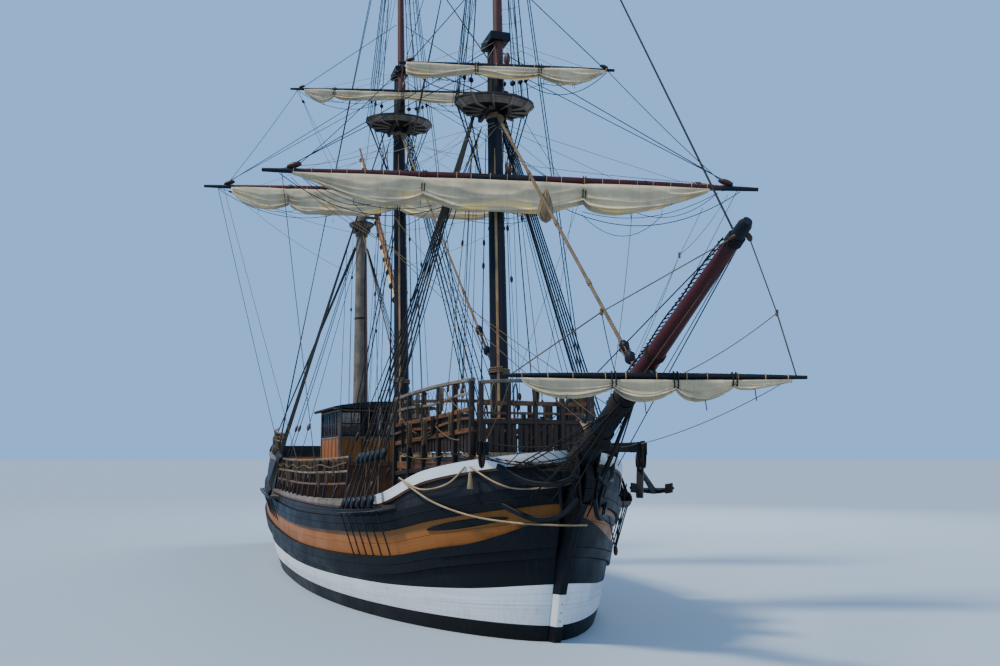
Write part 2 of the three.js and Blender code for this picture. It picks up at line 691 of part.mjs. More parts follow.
function bowspritFrame(x) {
  const { heel, tip } = BOWSPRIT;
  const slope = (tip[2] - heel[2]) / (tip[0] - heel[0]);
  return new THREE.Matrix4().makeTranslation(x, 0, heel[2] + (x - heel[0]) * slope)
    .multiply(new THREE.Matrix4().makeRotationY(-Math.atan(slope)));
}

// How far the yard's middle lies below the bowsprit's axis.
const spritDrop = () => bowspritRadius(SPRITSAIL.x - 50) + GAP + SPRITSAIL.saddle
  + SPRITSAIL.mid;

// The yard and its sail hang level, though the bowsprit they turn about is steep.
function spritMatrix() {
  const middle = vec(0, 0, -spritDrop()).applyMatrix4(bowspritFrame(SPRITSAIL.x));
  return new THREE.Matrix4().makeTranslation(middle)
    .multiply(new THREE.Matrix4().makeRotationZ(-BRACE))
    .multiply(new THREE.Matrix4().makeRotationX(-THREE.MathUtils.degToRad(SPRITSAIL.tilt)));
}

// The bowsprit's radius at a place.
function bowspritRadius(x) {
  const { heel, tip, heelRadius, bendRadius, tipRadius } = BOWSPRIT;
  const share = (x - heel[0]) / (tip[0] - heel[0]);
  return share < 0.35 ? THREE.MathUtils.lerp(heelRadius, bendRadius, share / 0.35)
    : THREE.MathUtils.lerp(bendRadius, tipRadius, (share - 0.35) / 0.65);
}

function spritYardSolid() {
  const saddle = spar(vec(0, 0, -spritDrop()), vec(0, 0, SPRITSAIL.saddle + SPRITSAIL.mid
    - spritDrop()), [[0, 55], [1, 55]], 16, vec(1, 0, 0));
  return fuse([yardSpar(SPRITSAIL).applyMatrix4(spritMatrix()),
    saddle.applyMatrix4(bowspritFrame(SPRITSAIL.x))]);
}

const spritsailSolid = () => bunt(SPRITSAIL).applyMatrix4(spritMatrix());

// Lateen yard on the mizzen's port side, in the fore and aft plane, its sail furled along it.

function lateenEnds() {
  const { low, peak, side } = LATEEN;
  return [vec(low[0], side, low[1]), vec(peak[0], side, peak[1])];
}

function lateenYardSolid() {
  const [low, peak] = lateenEnds();
  const pole = spar(low, peak, [[0, 60], [0.35, 105], [0.6, 100], [1, 40]], 12);
  const middle = low.clone().lerp(peak, LATEEN.slung);
  const radius = mastRadius('mizzen', middle.z);
  const saddle = block(middle.x - 40, middle.x + 70, radius + GAP, LATEEN.side,
    middle.z, middle.z + 90);
  return fuse([pole, saddle]);
}

function lateenSailSolid() {
  const [low, peak] = lateenEnds();
  const way = peak.clone().sub(low).normalize();
  const under = new THREE.Vector3().crossVectors(vec(0, 1, 0), way).normalize();
  if (under.z > 0) under.negate();
  const rings = [0.06, 0.12, 0.3, 0.5, 0.7, 0.88, 0.95].map((share, i) => {
    const size = [0.3, 0.7, 1, 1, 0.85, 0.6, 0.3][i];
    const centre = low.clone().lerp(peak, share);
    const sag = 105 + GAP;
    return [[-0.3, 0], [0.3, 0], [0.9, 0.5], [0.8, 1.2], [0, 1.5], [-0.8, 1.2], [-0.9, 0.5]].map(
      ([y, down]) => centre.clone().addScaledVector(under, sag + down * 150 * size)
        .add(vec(0, y * 130 * size, 0)));
  });
  return loft(rings);
}

// Stays, with the collar at each end that goes round what holds it

const COLLAR = 55;                 // half the height of a collar

function collarOn(matrix, radius, z) {
  const [hole, wall, height] = [radius + GAP, 60, 2 * COLLAR];
  const profile = [[hole, 0], [radius + wall, 0], [radius + wall, height], [hole, height],
    [hole, 0]];
  const ring = new THREE.LatheGeometry(profile.map(([r, h]) => new THREE.Vector2(r, h)), SIDES);
  return ring.rotateX(Math.PI / 2).rotateZ(Math.PI / 2).translate(0, 0, z - height / 2)
    .applyMatrix4(matrix);
}

// A point on a mast's own frame: forward of its axis, at a height.
const mastPoint = (name, forward, z) => vec(forward, 0, onMast(name, z))
  .applyMatrix4(mastMatrix(name));

// The bowsprit's frame stood on end, so that a collar goes round it.
const roundBowsprit = (x) => bowspritFrame(x)
  .multiply(new THREE.Matrix4().makeRotationY(Math.PI / 2));
const bowspritPoint = (x, up) => vec(0, 0, up).applyMatrix4(bowspritFrame(x));

function staySolid(top, bottom, radius, collars) {
  return fuse([spar(top, bottom, [[0, radius], [1, radius]], 8), ...collars]);
}

function mainStaySolid() {
  const [high, low] = [14250, 5450];
  const [r1, r2] = [mastRadius('main', high - COLLAR), mastRadius('fore', low - COLLAR)];
  const top = mastPoint('main', r1 + 37, high);
  const bottom = mastPoint('fore', -r2 - 42, low);
  const heartAt = top.clone().lerp(bottom, 0.905);
  const heart = spar(top.clone().lerp(bottom, 0.87), top.clone().lerp(bottom, 0.94),
    [[0, 60], [0.2, 150], [0.6, 190], [0.9, 130], [1, 60]], 10);
  heart.translate(-heartAt.x, 0, -heartAt.z).scale(1, 0.7, 1).translate(heartAt.x, 0, heartAt.z);
  return staySolid(top, bottom, 42, [heart,
    collarOn(mastMatrix('main'), r1, onMast('main', high)),
    collarOn(mastMatrix('fore'), r2, onMast('fore', low))]);
}

function foreStaySolid() {
  const [high, x] = [11560, 15550];
  const [r1, r2] = [mastRadius('fore', high - COLLAR), bowspritRadius(x - COLLAR)];
  const top = mastPoint('fore', r1 + 34, high);
  const bottom = bowspritPoint(x, r2 + 34);
  const heart = spar(top.clone().lerp(bottom, 0.94), top.clone().lerp(bottom, 0.975),
    [[0, 60], [0.3, 150], [0.8, 120], [1, 60]], 10);
  return staySolid(top, bottom, 42, [heart,
    collarOn(mastMatrix('fore'), r1, onMast('fore', high)),
    collarOn(roundBowsprit(x), r2, 0)]);
}

function mizzenStaySolid() {
  const [high, low] = [12200, 5900];
  const [r1, r2] = [mastRadius('mizzen', high - COLLAR), mastRadius('main', low - COLLAR)];
  return staySolid(mastPoint('mizzen', r1 + 28, high), mastPoint('main', -r2 - 29, low), 25, [
    collarOn(mastMatrix('mizzen').multiply(new THREE.Matrix4().makeRotationZ(Math.PI / 2)), r1,
      onMast('mizzen', high)),
    collarOn(mastMatrix('main'), r2, onMast('main', low))]);
}

// The topmast stays' ends are hollowed to the spars that they lie against.
function foreTopmastStaySolid() {
  const [high, x, radius] = [21500, 18560, 22];
  const tube = spar(mastPoint('fore', MASTS.fore.ahead, high), bowspritPoint(x, 0),
    [[0, radius], [1, radius]], 8);
  return cut(tube, [topmastSolid('fore', GAP), bowspritSolid(GAP)]);
}

function mainTopmastStaySolid() {
  const [high, low, radius] = [21600, 13020, 20];
  const tube = spar(mastPoint('main', MASTS.main.ahead, high), mastPoint('fore', 0, low),
    [[0, radius], [1, radius]], 8);
  return cut(tube, [topmastSolid('main', GAP), lowerMast('fore', GAP)]);
}

// Catheads and anchors

const CATHEAD = { inner: [11000, 1180], outer: [12400, 1640], size: 200 };

function catheadSolid(sign) {
  const z = FORECASTLE_DECK + GAP + CATHEAD.size / 2;
  return beam(vec(CATHEAD.inner[0], sign * CATHEAD.inner[1], z),
    vec(CATHEAD.outer[0], sign * CATHEAD.outer[1], z), CATHEAD.size, CATHEAD.size);
}

// The port anchor, hung by its ring from the cathead and stowed with its shank aft along the
// side. In its own frame the ring's top is at zero and the shank runs down.
function anchorSolid() {
  const [ringSize, shank, arm, stock, sink] = [130, 2250, 520, 560, 0.25];
  const ring = new THREE.TorusGeometry(ringSize, 26, 8, 20).rotateX(Math.PI / 2)
    .translate(0, 0, -ringSize - 26);
  const stem = spar(vec(0, 0, 0), vec(-shank, 0, 0), [[0, 42], [1, 70]], 8);
  const arc = Array.from({ length: 9 }, (_, i) => THREE.MathUtils.degToRad(
    THREE.MathUtils.lerp(-62, 62, i / 8)));
  const arms = loft(arc.map((angle) => {
    const size = 70 - 34 * Math.abs(angle);
    const at = (r, z) => vec(-shank + arm - r * Math.cos(angle), r * Math.sin(angle), z);
    return [at(arm + size, 0), at(arm, size), at(arm - size, 0), at(arm, -size)];
  }));
  const palms = [-1, 1].map((side) => {
    const angle = THREE.MathUtils.degToRad(52);
    return new THREE.BoxGeometry(200, 40, 200).rotateZ(side * angle)
      .translate(-shank + arm * (1 - Math.cos(angle)) + 50, side * (arm - 60) * Math.sin(angle), 0);
  });
  const bar = beam(vec(-330, 0, -stock), vec(-330, 1, stock), 120, 130);
  const along = Math.atan2(1420, -2000) - Math.PI;
  const bottom = FORECASTLE_DECK;
  const stowed = [stem, arms, ...palms, bar].map((piece) => piece.rotateY(-sink).rotateZ(along)
    .translate(0, 0, -2 * ringSize));
  return fuse([...stowed, ring.rotateZ(along)]).translate(CATHEAD.outer[0] - 110,
    CATHEAD.outer[1] - 40, bottom);
}

// Head rails from the bow to the knee's tip
function headRailSolid(sign) {
  const paths = [
    [[12000, 1200, 3340], [12650, 870, 3060], [13150, 500, 3020], [13520, 150, 3190]],
    [[11900, 1080, 2600], [12550, 720, 2380], [13050, 380, 2440], [13420, 150, 2780]],
  ];
  const rail = (path, size) => loft(path.map(([x, y, z]) => [
    vec(x, sign * (y - size / 2), z - size / 2), vec(x, sign * (y + size / 2), z - size / 2),
    vec(x, sign * (y + size / 2), z + size / 2), vec(x, sign * (y - size / 2), z + size / 2)]));
  const timbers = [1, 2].map((i) => beam(vec(paths[0][i][0], sign * paths[0][i][1], paths[0][i][2]),
    vec(paths[1][i][0], sign * paths[1][i][1], paths[1][i][2]), 90, 90));
  return cut(fuse([rail(paths[0], 110), rail(paths[1], 100), ...timbers]),
    [form(CAP_WIDTH / 2), stemGrown()]);
}

function stemGrown() {
  return plate([[11500, 0], [11500, 3700], [13800, 3700], [13800, 0]], STEM_HALF + GAP);
}

// Putting the ship together

const OCHRE = 0xa8692f;
const DARK_GREY = 0x2c2c33;
const WHITE = 0xc9ced8;
const TIMBER = 0x6b4428;
const CANVAS = 0xcdbf9f;
const ROPE = 0xa8906c;
const TOPMAST = 0x5e2a26;
const PINE = 0x9a7750;
const IRON = 0x1a1b1d;
const SIDES_OF = [['starboard', -1], ['port', 1]];

place('hull', hullSolid(), BLACK);
place('backbone', backboneSolid(), BLACK);
place('rudder', rudderSolid(), BLACK);
const bowHole = bowspritSolid(GAP);
for (const [side, sign] of SIDES_OF) {
  place(`bulwark_${side}`, cut(bulwarkSolid(sign, QUARTERDECK_FRONT + GAP, 13600, MAIN_DECK,
    WAIST_RAIL), [bowHole, stemGrown()]), DARK_GREY);
  place(`quarter_bulwark_${side}`, bulwarkSolid(sign, -15000, QUARTERDECK_FRONT, QUARTERDECK,
    QUARTER_RAIL), DARK_GREY);
  place(`main_wale_${side}`, waleSolid(sign, 2, 190), BLACK);
  place(`upper_wale_${side}`, waleSolid(sign, 1, 170), BLACK);
  place(`fore_channel_${side}`, channelSolid(sign, 7300, 9250), BLACK);
  place(`main_channel_${side}`, channelSolid(sign, -4700, -1300), BLACK);
  place(`head_rail_${side}`, headRailSolid(sign), BLACK);
  place(`cathead_${side}`, catheadSolid(sign), BLACK);
  place(`forecastle_frame_${side}`, sideFrameSolid(sign), TIMBER);
}
place('anchor', anchorSolid(), IRON, 0.7, 0.6);
place('forecastle_deck', forecastleDeckSolid(), TIMBER);
place('forecastle_rail_aft', breastRailSolid(7480, 1900, 4780, 6), TIMBER);
place('forecastle_rail_fore', breastRailSolid(10860, 1180, 5020, 5), TIMBER);
place('cabin', cabinSolid(), OCHRE);
place('main_hatch', hatchSolid(), TIMBER);
place('capstan', capstanSolid(), TIMBER);
place('fore_bitts', bittsSolid(), TIMBER);

place('foremast', lowerMast('fore'), SPAR_BLACK);
place('mainmast', lowerMast('main'), SPAR_BLACK);
place('mizzenmast', lowerMast('mizzen'), PINE);
for (const name of ['fore', 'main', 'mizzen']) place(`${name}_top`, topSolid(name), SPAR_BLACK);
for (const name of ['fore', 'main']) {
  place(`${name}_cap`, capSolid(name), SPAR_BLACK);
  place(`${name}_topmast`, topmastSolid(name), TOPMAST);
}
place('bowsprit', bowspritSolid(), TOPMAST);

for (const [name, yard] of Object.entries(YARDS)) {
  place(`${name}_yard`, yardSolid(yard), TOPMAST);
  place(`${name}_sail`, sailSolid(yard), CANVAS, 0.9);
}
place('spritsail_yard', spritYardSolid(), SPAR_BLACK);
place('spritsail_sail', spritsailSolid(), CANVAS, 0.9);
place('lateen_yard', lateenYardSolid(), PINE);
place('lateen_sail', lateenSailSolid(), CANVAS, 0.9);

place('main_stay', mainStaySolid(), ROPE, 0.9);
place('fore_stay', foreStaySolid(), ROPE, 0.9);
place('mizzen_stay', mizzenStaySolid(), ROPE, 0.9);
place('fore_topmast_stay', foreTopmastStaySolid(), ROPE, 0.9);
place('main_topmast_stay', mainTopmastStaySolid(), ROPE, 0.9);

export default ship;
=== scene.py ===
"""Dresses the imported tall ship: planking and paint, spars, sails and rigging, and its stage."""
import math
import random

import bpy
from bpy.props import FloatProperty, FloatVectorProperty, IntProperty, PointerProperty
from mathutils import Matrix, Vector, noise


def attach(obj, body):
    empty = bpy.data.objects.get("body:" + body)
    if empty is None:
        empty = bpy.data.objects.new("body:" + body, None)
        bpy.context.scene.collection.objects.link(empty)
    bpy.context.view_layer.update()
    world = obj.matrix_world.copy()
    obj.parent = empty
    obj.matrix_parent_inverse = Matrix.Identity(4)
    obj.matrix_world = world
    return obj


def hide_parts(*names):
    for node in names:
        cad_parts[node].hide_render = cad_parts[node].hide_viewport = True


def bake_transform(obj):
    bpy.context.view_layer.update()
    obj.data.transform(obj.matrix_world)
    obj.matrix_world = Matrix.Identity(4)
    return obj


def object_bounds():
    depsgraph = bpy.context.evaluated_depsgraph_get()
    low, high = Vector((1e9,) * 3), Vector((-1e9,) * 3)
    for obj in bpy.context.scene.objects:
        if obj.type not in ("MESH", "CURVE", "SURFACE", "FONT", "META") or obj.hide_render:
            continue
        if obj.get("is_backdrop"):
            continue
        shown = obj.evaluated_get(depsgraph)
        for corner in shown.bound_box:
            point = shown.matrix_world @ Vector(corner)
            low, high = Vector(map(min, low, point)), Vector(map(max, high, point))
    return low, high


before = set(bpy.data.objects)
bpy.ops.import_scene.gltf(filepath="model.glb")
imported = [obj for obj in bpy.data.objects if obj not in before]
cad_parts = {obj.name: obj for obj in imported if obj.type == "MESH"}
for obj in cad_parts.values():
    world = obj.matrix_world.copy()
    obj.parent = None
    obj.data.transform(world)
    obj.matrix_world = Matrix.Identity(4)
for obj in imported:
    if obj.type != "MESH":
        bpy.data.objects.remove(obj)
CAD_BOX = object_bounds()

bl_info = {
    "name": "Tall ship dresser",
    "version": (1, 0, 0),
    "blender": (4, 5, 0),
    "location": "View3D > Sidebar > Tall ship",
    "description": "Planks, paints, rigs and stages the packed tall ship",
    "category": "Object",
}

# The hull's form and the lines along it, in metres

LEVELS = (
    # z, stem x, stern x, half, stern half, bow length, bow width, stern length, stern width
    (-3.30, 9.30, -11.90, 0.17, 0.14, 3.0, 0.90, 3.0, 0.90),
    (-3.05, 9.90, -11.95, 1.30, 0.14, 2.4, 1.10, 2.0, 1.50),
    (-2.50, 10.60, -12.05, 2.35, 0.14, 2.2, 1.10, 2.0, 1.40),
    (-1.60, 11.20, -12.20, 3.05, 0.14, 2.2, 1.00, 2.1, 1.25),
    (-0.70, 11.55, -12.35, 3.36, 0.14, 2.3, 0.85, 2.3, 1.10),
    (0.00, 11.80, -12.48, 3.50, 0.16, 2.4, 0.72, 2.5, 0.95),
    (0.70, 12.02, -12.60, 3.66, 0.90, 2.6, 0.75, 2.7, 0.85),
    (1.60, 12.28, -12.80, 3.76, 1.90, 2.8, 0.78, 2.8, 0.75),
    (2.50, 12.56, -13.15, 3.70, 2.35, 3.0, 0.75, 2.8, 0.75),
    (3.60, 12.85, -13.65, 3.52, 2.45, 3.0, 0.70, 2.6, 0.80),
    (5.20, 13.15, -14.30, 3.15, 2.25, 3.0, 0.70, 2.4, 0.85),
)
STEM_X, STERN_X, HALF, STERN_HALF, BOW_LONG, BOW_WIDE, STERN_LONG, STERN_WIDE = range(1, 9)
KEEL_Z = LEVELS[0][0]
WAIST_RAIL = ((-3.2, 2.48), (4.0, 2.48), (8.6, 2.70), (10.35, 3.25), (12.9, 3.64), (13.6, 3.70))
QUARTER_RAIL = ((-15.0, 4.05), (-9.0, 3.65), (-3.2, 3.45))
WALES = (
    # x, upper wale, main wale
    (-14.3, 2.95, 2.15), (-9.0, 2.45, 1.60), (-3.2, 2.05, 1.25), (0.0, 1.95, 1.13),
    (4.0, 1.93, 1.08), (8.6, 2.09, 1.20), (10.35, 2.42, 1.50), (13.6, 3.00, 2.03),
)
UPPER, MAIN = 1, 2
WHITE_TOP = ((-13.0, 0.98), (0.0, 0.72), (8.0, 0.78), (10.7, 0.92), (12.2, 1.12))
BOOT_TOP = 0.31
FRAME_SPAN = 12.0
BOW_END_HALF = 0.14
DECK, QUARTERDECK, BREAK_X, FORECASTLE = 1.35, 3.30, -3.2, 3.60
WALL = 0.11
UPPER_WALE_HALF, MAIN_WALE_HALF, WALE_OUT = 0.17, 0.19, 0.07
WHITE_RAIL_AFT = 8.4
CHANNELS = {"fore": (7.3, 9.25), "main": (-4.7, -1.3)}
CHANNEL_Z = 2.2
STEM_FRONT = ((-3.62, 9.34), (-3.25, 10.20), (-2.60, 10.94), (-1.60, 11.45), (0.0, 11.99),
              (0.85, 12.25), (1.45, 12.51), (2.0, 12.81), (2.43, 13.13), (2.8, 13.49),
              (3.12, 13.63), (3.38, 13.55))
STEM_BACK = ((2.95, 12.62), (3.08, 12.95), (3.38, 13.27))
STEM_WIDE, STEM_SLIM = 0.134, 0.072
HEAD_RAILS = (((12.0, 1.20, 3.34), (12.65, 0.87, 3.06), (13.15, 0.50, 3.02), (13.52, 0.15, 3.19)),
              ((11.9, 1.08, 2.60), (12.55, 0.72, 2.38), (13.05, 0.38, 2.44), (13.42, 0.15, 2.78)))
CATHEAD_IN, CATHEAD_OUT = (11.0, 1.18), (12.4, 1.64)
FRAME_AFT, FRAME_FORE, FRAME_TOP = (7.40, 2.14), (10.70, 1.33), (4.83, 5.08)

# Masts: place at the waterline, lean aft for each metre up, and the heights and radii along them
MASTS = {
    "fore": dict(x=8.85, lean=0.055, foot=DECK, top=11.75, cap=13.35, head=21.8, foot_r=0.235,
                 top_r=0.175, rim=0.99, long=0.68, ahead=0.33, topmast_r=0.115, head_r=0.060),
    "main": dict(x=-0.64, lean=0.087, foot=DECK, top=14.55, cap=16.35, head=25.0, foot_r=0.265,
                 top_r=0.190, rim=1.14, long=0.68, ahead=0.35, topmast_r=0.125, head_r=0.065),
    "mizzen": dict(x=-7.75, lean=0.045, foot=QUARTERDECK, top=12.45, cap=13.9, head=13.9,
                   foot_r=0.300, top_r=0.205, rim=0.49, long=1.0, ahead=0.0),
}
MASTHEAD_SHARE = 0.86
TOP_FLOOR, TOP_RISE = 0.08, 0.20
BRACE, TILT = math.radians(20), math.radians(3.8)
SADDLE = 0.11

# Yards: height, half length, how far the middle lies to port, radii, and each hanging bight of the
# sail: where it starts and ends along the yard, how deep the cloth hangs at its start, at its end
# and at its deepest, and how far along it is deepest
YARDS = {
    "fore_course": dict(
        mast="fore", upper=False, z=9.91, half=5.78, shift=0.30, mid=0.120, end=0.045, thick=0.44,
        head=(-5.02, 4.65), drop=0.70,
        bights=((-5.02, -1.95, 0.04, 0.40, 0.67, 0.66), (-1.95, 1.76, 0.40, 0.38, 0.69, 0.50),
                (1.76, 4.65, 0.38, 0.03, 0.64, 0.36))),
    "fore_topsail": dict(
        mast="fore", upper=True, z=12.62, half=2.54, shift=0.20, mid=0.060, end=0.032, thick=0.24,
        head=(-2.36, 2.32), drop=0.39,
        bights=((-2.36, -0.7, 0.22, 0.14, 0.27, 0.35), (-0.7, 0.79, 0.14, 0.15, 0.24, 0.50),
                (0.79, 2.32, 0.15, 0.03, 0.38, 0.50))),
    "main_course": dict(
        mast="main", upper=False, z=12.13, half=6.45, shift=0.0, mid=0.125, end=0.045, thick=0.46,
        head=(-5.5, 5.5), drop=0.78,
        bights=((-5.5, -3.56, 0.08, 0.46, 0.72, 0.45), (-3.56, 0.0, 0.46, 0.50, 0.76, 0.40),
                (0.0, 3.6, 0.50, 0.46, 0.76, 0.50), (3.6, 5.5, 0.46, 0.05, 0.70, 0.50))),
    "main_topsail": dict(
        mast="main", upper=True, z=15.56, half=3.8, shift=0.10, mid=0.075, end=0.035, thick=0.26,
        head=(-3.31, 3.35), drop=0.43,
        bights=((-3.31, -2.3, 0.10, 0.16, 0.41, 0.60), (-2.3, 0.0, 0.16, 0.18, 0.26, 0.30),
                (0.0, 2.3, 0.18, 0.16, 0.26, 0.60), (2.3, 3.35, 0.16, 0.04, 0.36, 0.50))),
}
BOWSPRIT_HEEL, BOWSPRIT_TIP = Vector((10.15, 0, 1.74)), Vector((18.85, 0, 6.66))
BOWSPRIT_RADII = ((0.0, 0.262), (0.35, 0.215), (1.0, 0.098))
SPRITSAIL = dict(
    x=15.95, half=2.40, mid=0.060, end=0.030, saddle=0.06, thick=0.22, drop=0.34,
    head=(-2.08, 2.15),
    bights=((-2.08, -0.64, 0.03, 0.12, 0.31, 0.45), (-0.64, 0.33, 0.12, 0.14, 0.32, 0.45),
            (0.33, 1.25, 0.14, 0.10, 0.31, 0.45), (1.25, 2.15, 0.10, 0.03, 0.13, 0.3)))
SPRIT_TILT = math.radians(0.5)
TAPER = ((0.0, 0.0), (0.25, 0.04), (0.5, 0.22), (0.75, 0.55), (1.0, 1.0))
LATEEN_LOW, LATEEN_PEAK = Vector((-4.1, 0.64, 8.6)), Vector((-12.35, 0.64, 17.0))
LATEEN_SLUNG = 0.51
SHROUDS = {
    # mast: count, first and last x at the channel, height of the eye
    "fore": (6, 7.36, 8.82, 12.0),
    "main": (5, -3.9, -1.45, 14.85),
}
SIDES = (("starboard", -1), ("port", 1))


def length(name, description, default):
    """A size setting, in metres."""
    return FloatProperty(name=name, description=description, default=default, unit="LENGTH")


class ShipSizes(bpy.types.PropertyGroup):
    """Sizes that a rigger or shipwright would change."""
    seam: length("Seam", "Width of the groove between two strakes", 0.018)
    seam_depth: length("Seam depth", "Depth of that groove", 0.010)
    shroud: length("Shroud", "Radius of a lower shroud", 0.019)
    ratline: length("Ratline", "Radius of a ratline", 0.0065)
    ratline_step: length("Ratline step", "Height between two ratlines", 0.38)
    rope_sides: IntProperty(name="Rope sides", description="Faces round a rope", default=6, min=3)
    spar_sides: IntProperty(name="Spar sides", description="Faces round a spar", default=32, min=8)


def linear(code):
    """The linear colour of an sRGB hex code."""
    parts = [int(code[i:i + 2], 16) / 255 for i in (1, 3, 5)]
    return tuple(c / 12.92 if c <= 0.04045 else ((c + 0.055) / 1.055) ** 2.4 for c in parts)


def shade(name, description, code):
    """A colour setting with an sRGB hex default."""
    return FloatVectorProperty(name=name, description=description, default=linear(code),
                               subtype="COLOR", size=3, min=0, max=1)


class ShipColours(bpy.types.PropertyGroup):
    """The ship's paints, woods, cloth and cordage."""
    black: shade("Black", "Oil paint on the wales and lower side", "#0d0f13")
    white: shade("White", "Oil paint of the band over the waterline and of the rail", "#cfd2d4")
    ochre: shade("Ochre", "Oil paint between the wales", "#8c5728")
    grey: shade("Grey", "Weathered paint of the upper side", "#222328")
    timber: shade("Timber", "Oiled oak of the rails and posts", "#6e4526")
    dark_oak: shade("Dark oak", "Tarred oak of the posts and boards", "#2c1c14")
    weathered: shade("Weathered", "Bare oak gone grey in the weather", "#74685a")
    blue: shade("Blue", "Paint of the cabin's panels", "#1d2836")
    # painted shade: the panes take the near-black of the unlit room behind them as their colour
    glass: shade("Glass", "Window panes", "#0b1016")
    sacking: shade("Sacking", "The netted sack on the fore stay", "#6d5b40")
    deck: shade("Deck", "Scrubbed pine of the decks", "#9a8466")
    spar: shade("Spar black", "Paint of the lower masts and yardarms", "#12151c")
    maroon: shade("Maroon", "Paint of the course yards and the bowsprit", "#3f191a")
    topmast: shade("Topmast", "Varnish of the topmasts", "#4c211d")
    pine: shade("Pine", "Oiled pine of the masts' fish", "#9c7a53")
    canvas: shade("Canvas", "Flax sailcloth", "#bcac8c")
    # painted light: the warm colour mixed into the canvas where the sun would shine through it
    glow: shade("Glow", "Canvas where the sun comes through", "#f2c877")
    hemp: shade("Hemp", "Untarred rope", "#a58e6b")
    old_rope: shade("Old rope", "Rope that has gone brown in the weather", "#6b5942")
    tarred: shade("Tarred", "Tarred rope", "#25221f")
    iron: shade("Iron", "Painted wrought iron", "#191a1c")
    elm: shade("Elm", "Varnished blocks", "#5f3421")
    backdrop: shade("Backdrop", "Floor of the stage", "#94a2ad")


def sizes():
    return bpy.context.scene.ship_sizes


def colours():
    return bpy.context.scene.ship_colours


# Points and the side's surface

def lerp(a, b, t):
    return a + (b - a) * t


def steps(start, end, count):
    """Even steps from start to end, both of them included."""
    return [lerp(start, end, i / count) for i in range(count + 1)]


def angles(count, shift=0.0):
    """Even angles round a circle."""
    return [2 * math.pi * (k + shift) / count for k in range(count)]


def vec(x, y, z):
    return Vector((x, y, z))


def lift(z):
    return Vector((0, 0, z))


def smooth(table, value, column=1):
    """A column of a table, on a smooth curve through its rows."""
    last = len(table) - 1
    i = 0
    while i < last - 1 and value > table[i + 1][0]:
        i += 1

    def slope(n):
        a, b = table[max(0, n - 1)], table[min(last, n + 1)]
        return (b[column] - a[column]) / (b[0] - a[0])

    a, b = table[i], table[i + 1]
    span = b[0] - a[0]
    t = min(1, max(0, (value - a[0]) / span))
    return (a[column] * (2 * t ** 3 - 3 * t * t + 1) + b[column] * (3 * t * t - 2 * t ** 3)
            + slope(i) * span * (t ** 3 - 2 * t * t + t) + slope(i + 1) * span * (t ** 3 - t * t))


def straight(table, value):
    """A table read on straight lines between its rows."""
    for (a, low), (b, high) in zip(table, table[1:]):
        if value <= b:
            return lerp(low, high, max(0.0, (value - a) / (b - a)))
    return table[-1][1]


def station_x(along, z):
    """Where a frame crosses a height, from -1 at the stern to 1 at the stem."""
    far = abs(along)
    end = abs(smooth(LEVELS, z, STEM_X if along > 0 else STERN_X))
    return math.copysign(FRAME_SPAN * far + (end - FRAME_SPAN) * far ** 5, along)


def half_width(x, z):
    """The hull's half width at a place."""
    bow = x > 0
    share = min(1, abs(x / smooth(LEVELS, z, STEM_X if bow else STERN_X)))
    end = BOW_END_HALF if bow else smooth(LEVELS, z, STERN_HALF)
    long, wide = (BOW_LONG, BOW_WIDE) if bow else (STERN_LONG, STERN_WIDE)
    fullness = (1 - share ** smooth(LEVELS, z, long)) ** smooth(LEVELS, z, wide)
    return end + (smooth(LEVELS, z, HALF) - end) * fullness


def side_point(along, z, out, sign):
    """A point of the side, pushed outward, for one side of the ship."""
    spots = []
    for a in (max(-1, along - 0.004), min(1, along + 0.004)):
        x = station_x(a, z)
        spots.append((x, half_width(x, z)))
    (x0, y0), (x1, y1) = spots
    span = math.hypot(x1 - x0, y1 - y0)
    x = station_x(along, z)
    y = half_width(x, z) + (x1 - x0) / span * out
    return vec(x + (y0 - y1) / span * out, sign * y, z)


def on_line(along, height_at, out, sign):
    """Where a frame crosses a line that runs along the ship at a height of its own."""
    z = height_at(0)
    for _ in range(6):
        z = height_at(station_x(along, z))
    return side_point(along, z, out, sign)


def angle_at(x, z):
    """The frame's place at x as an angle, whose sine is its share of the length."""
    low, high = -1.0, 1.0
    for _ in range(40):
        middle = (low + high) / 2
        if station_x(middle, z) < x:
            low = middle
        else:
            high = middle
    return math.asin((low + high) / 2)


def side_at(x, z, out, sign=-1, up=0.0):
    """A point of the side at x and a height, and up above it."""
    return side_point(math.sin(angle_at(x, z)), z + up, out, sign)


def rail_spot(x, z, sign, out=-0.06):
    """A place over the side's top at a height."""
    return side_point(math.sin(angle_at(x, min(z, 3.6))), z, out, sign)


def waist_rail(x):
    return smooth(WAIST_RAIL, x)


def quarter_rail(x):
    return smooth(QUARTER_RAIL, x)


def wale(column, shift=0.0):
    """The line of a wale, or one that runs beside it."""
    return lambda x: smooth(WALES, x, column) + shift


def between(low, high, share):
    return lambda x: lerp(low(x), high(x), share)


def level(z):
    return lambda x: z


# Meshes

def each(value, i):
    """The item of a list, or the one value that stands for all."""
    return value[i] if isinstance(value, (list, tuple)) else value


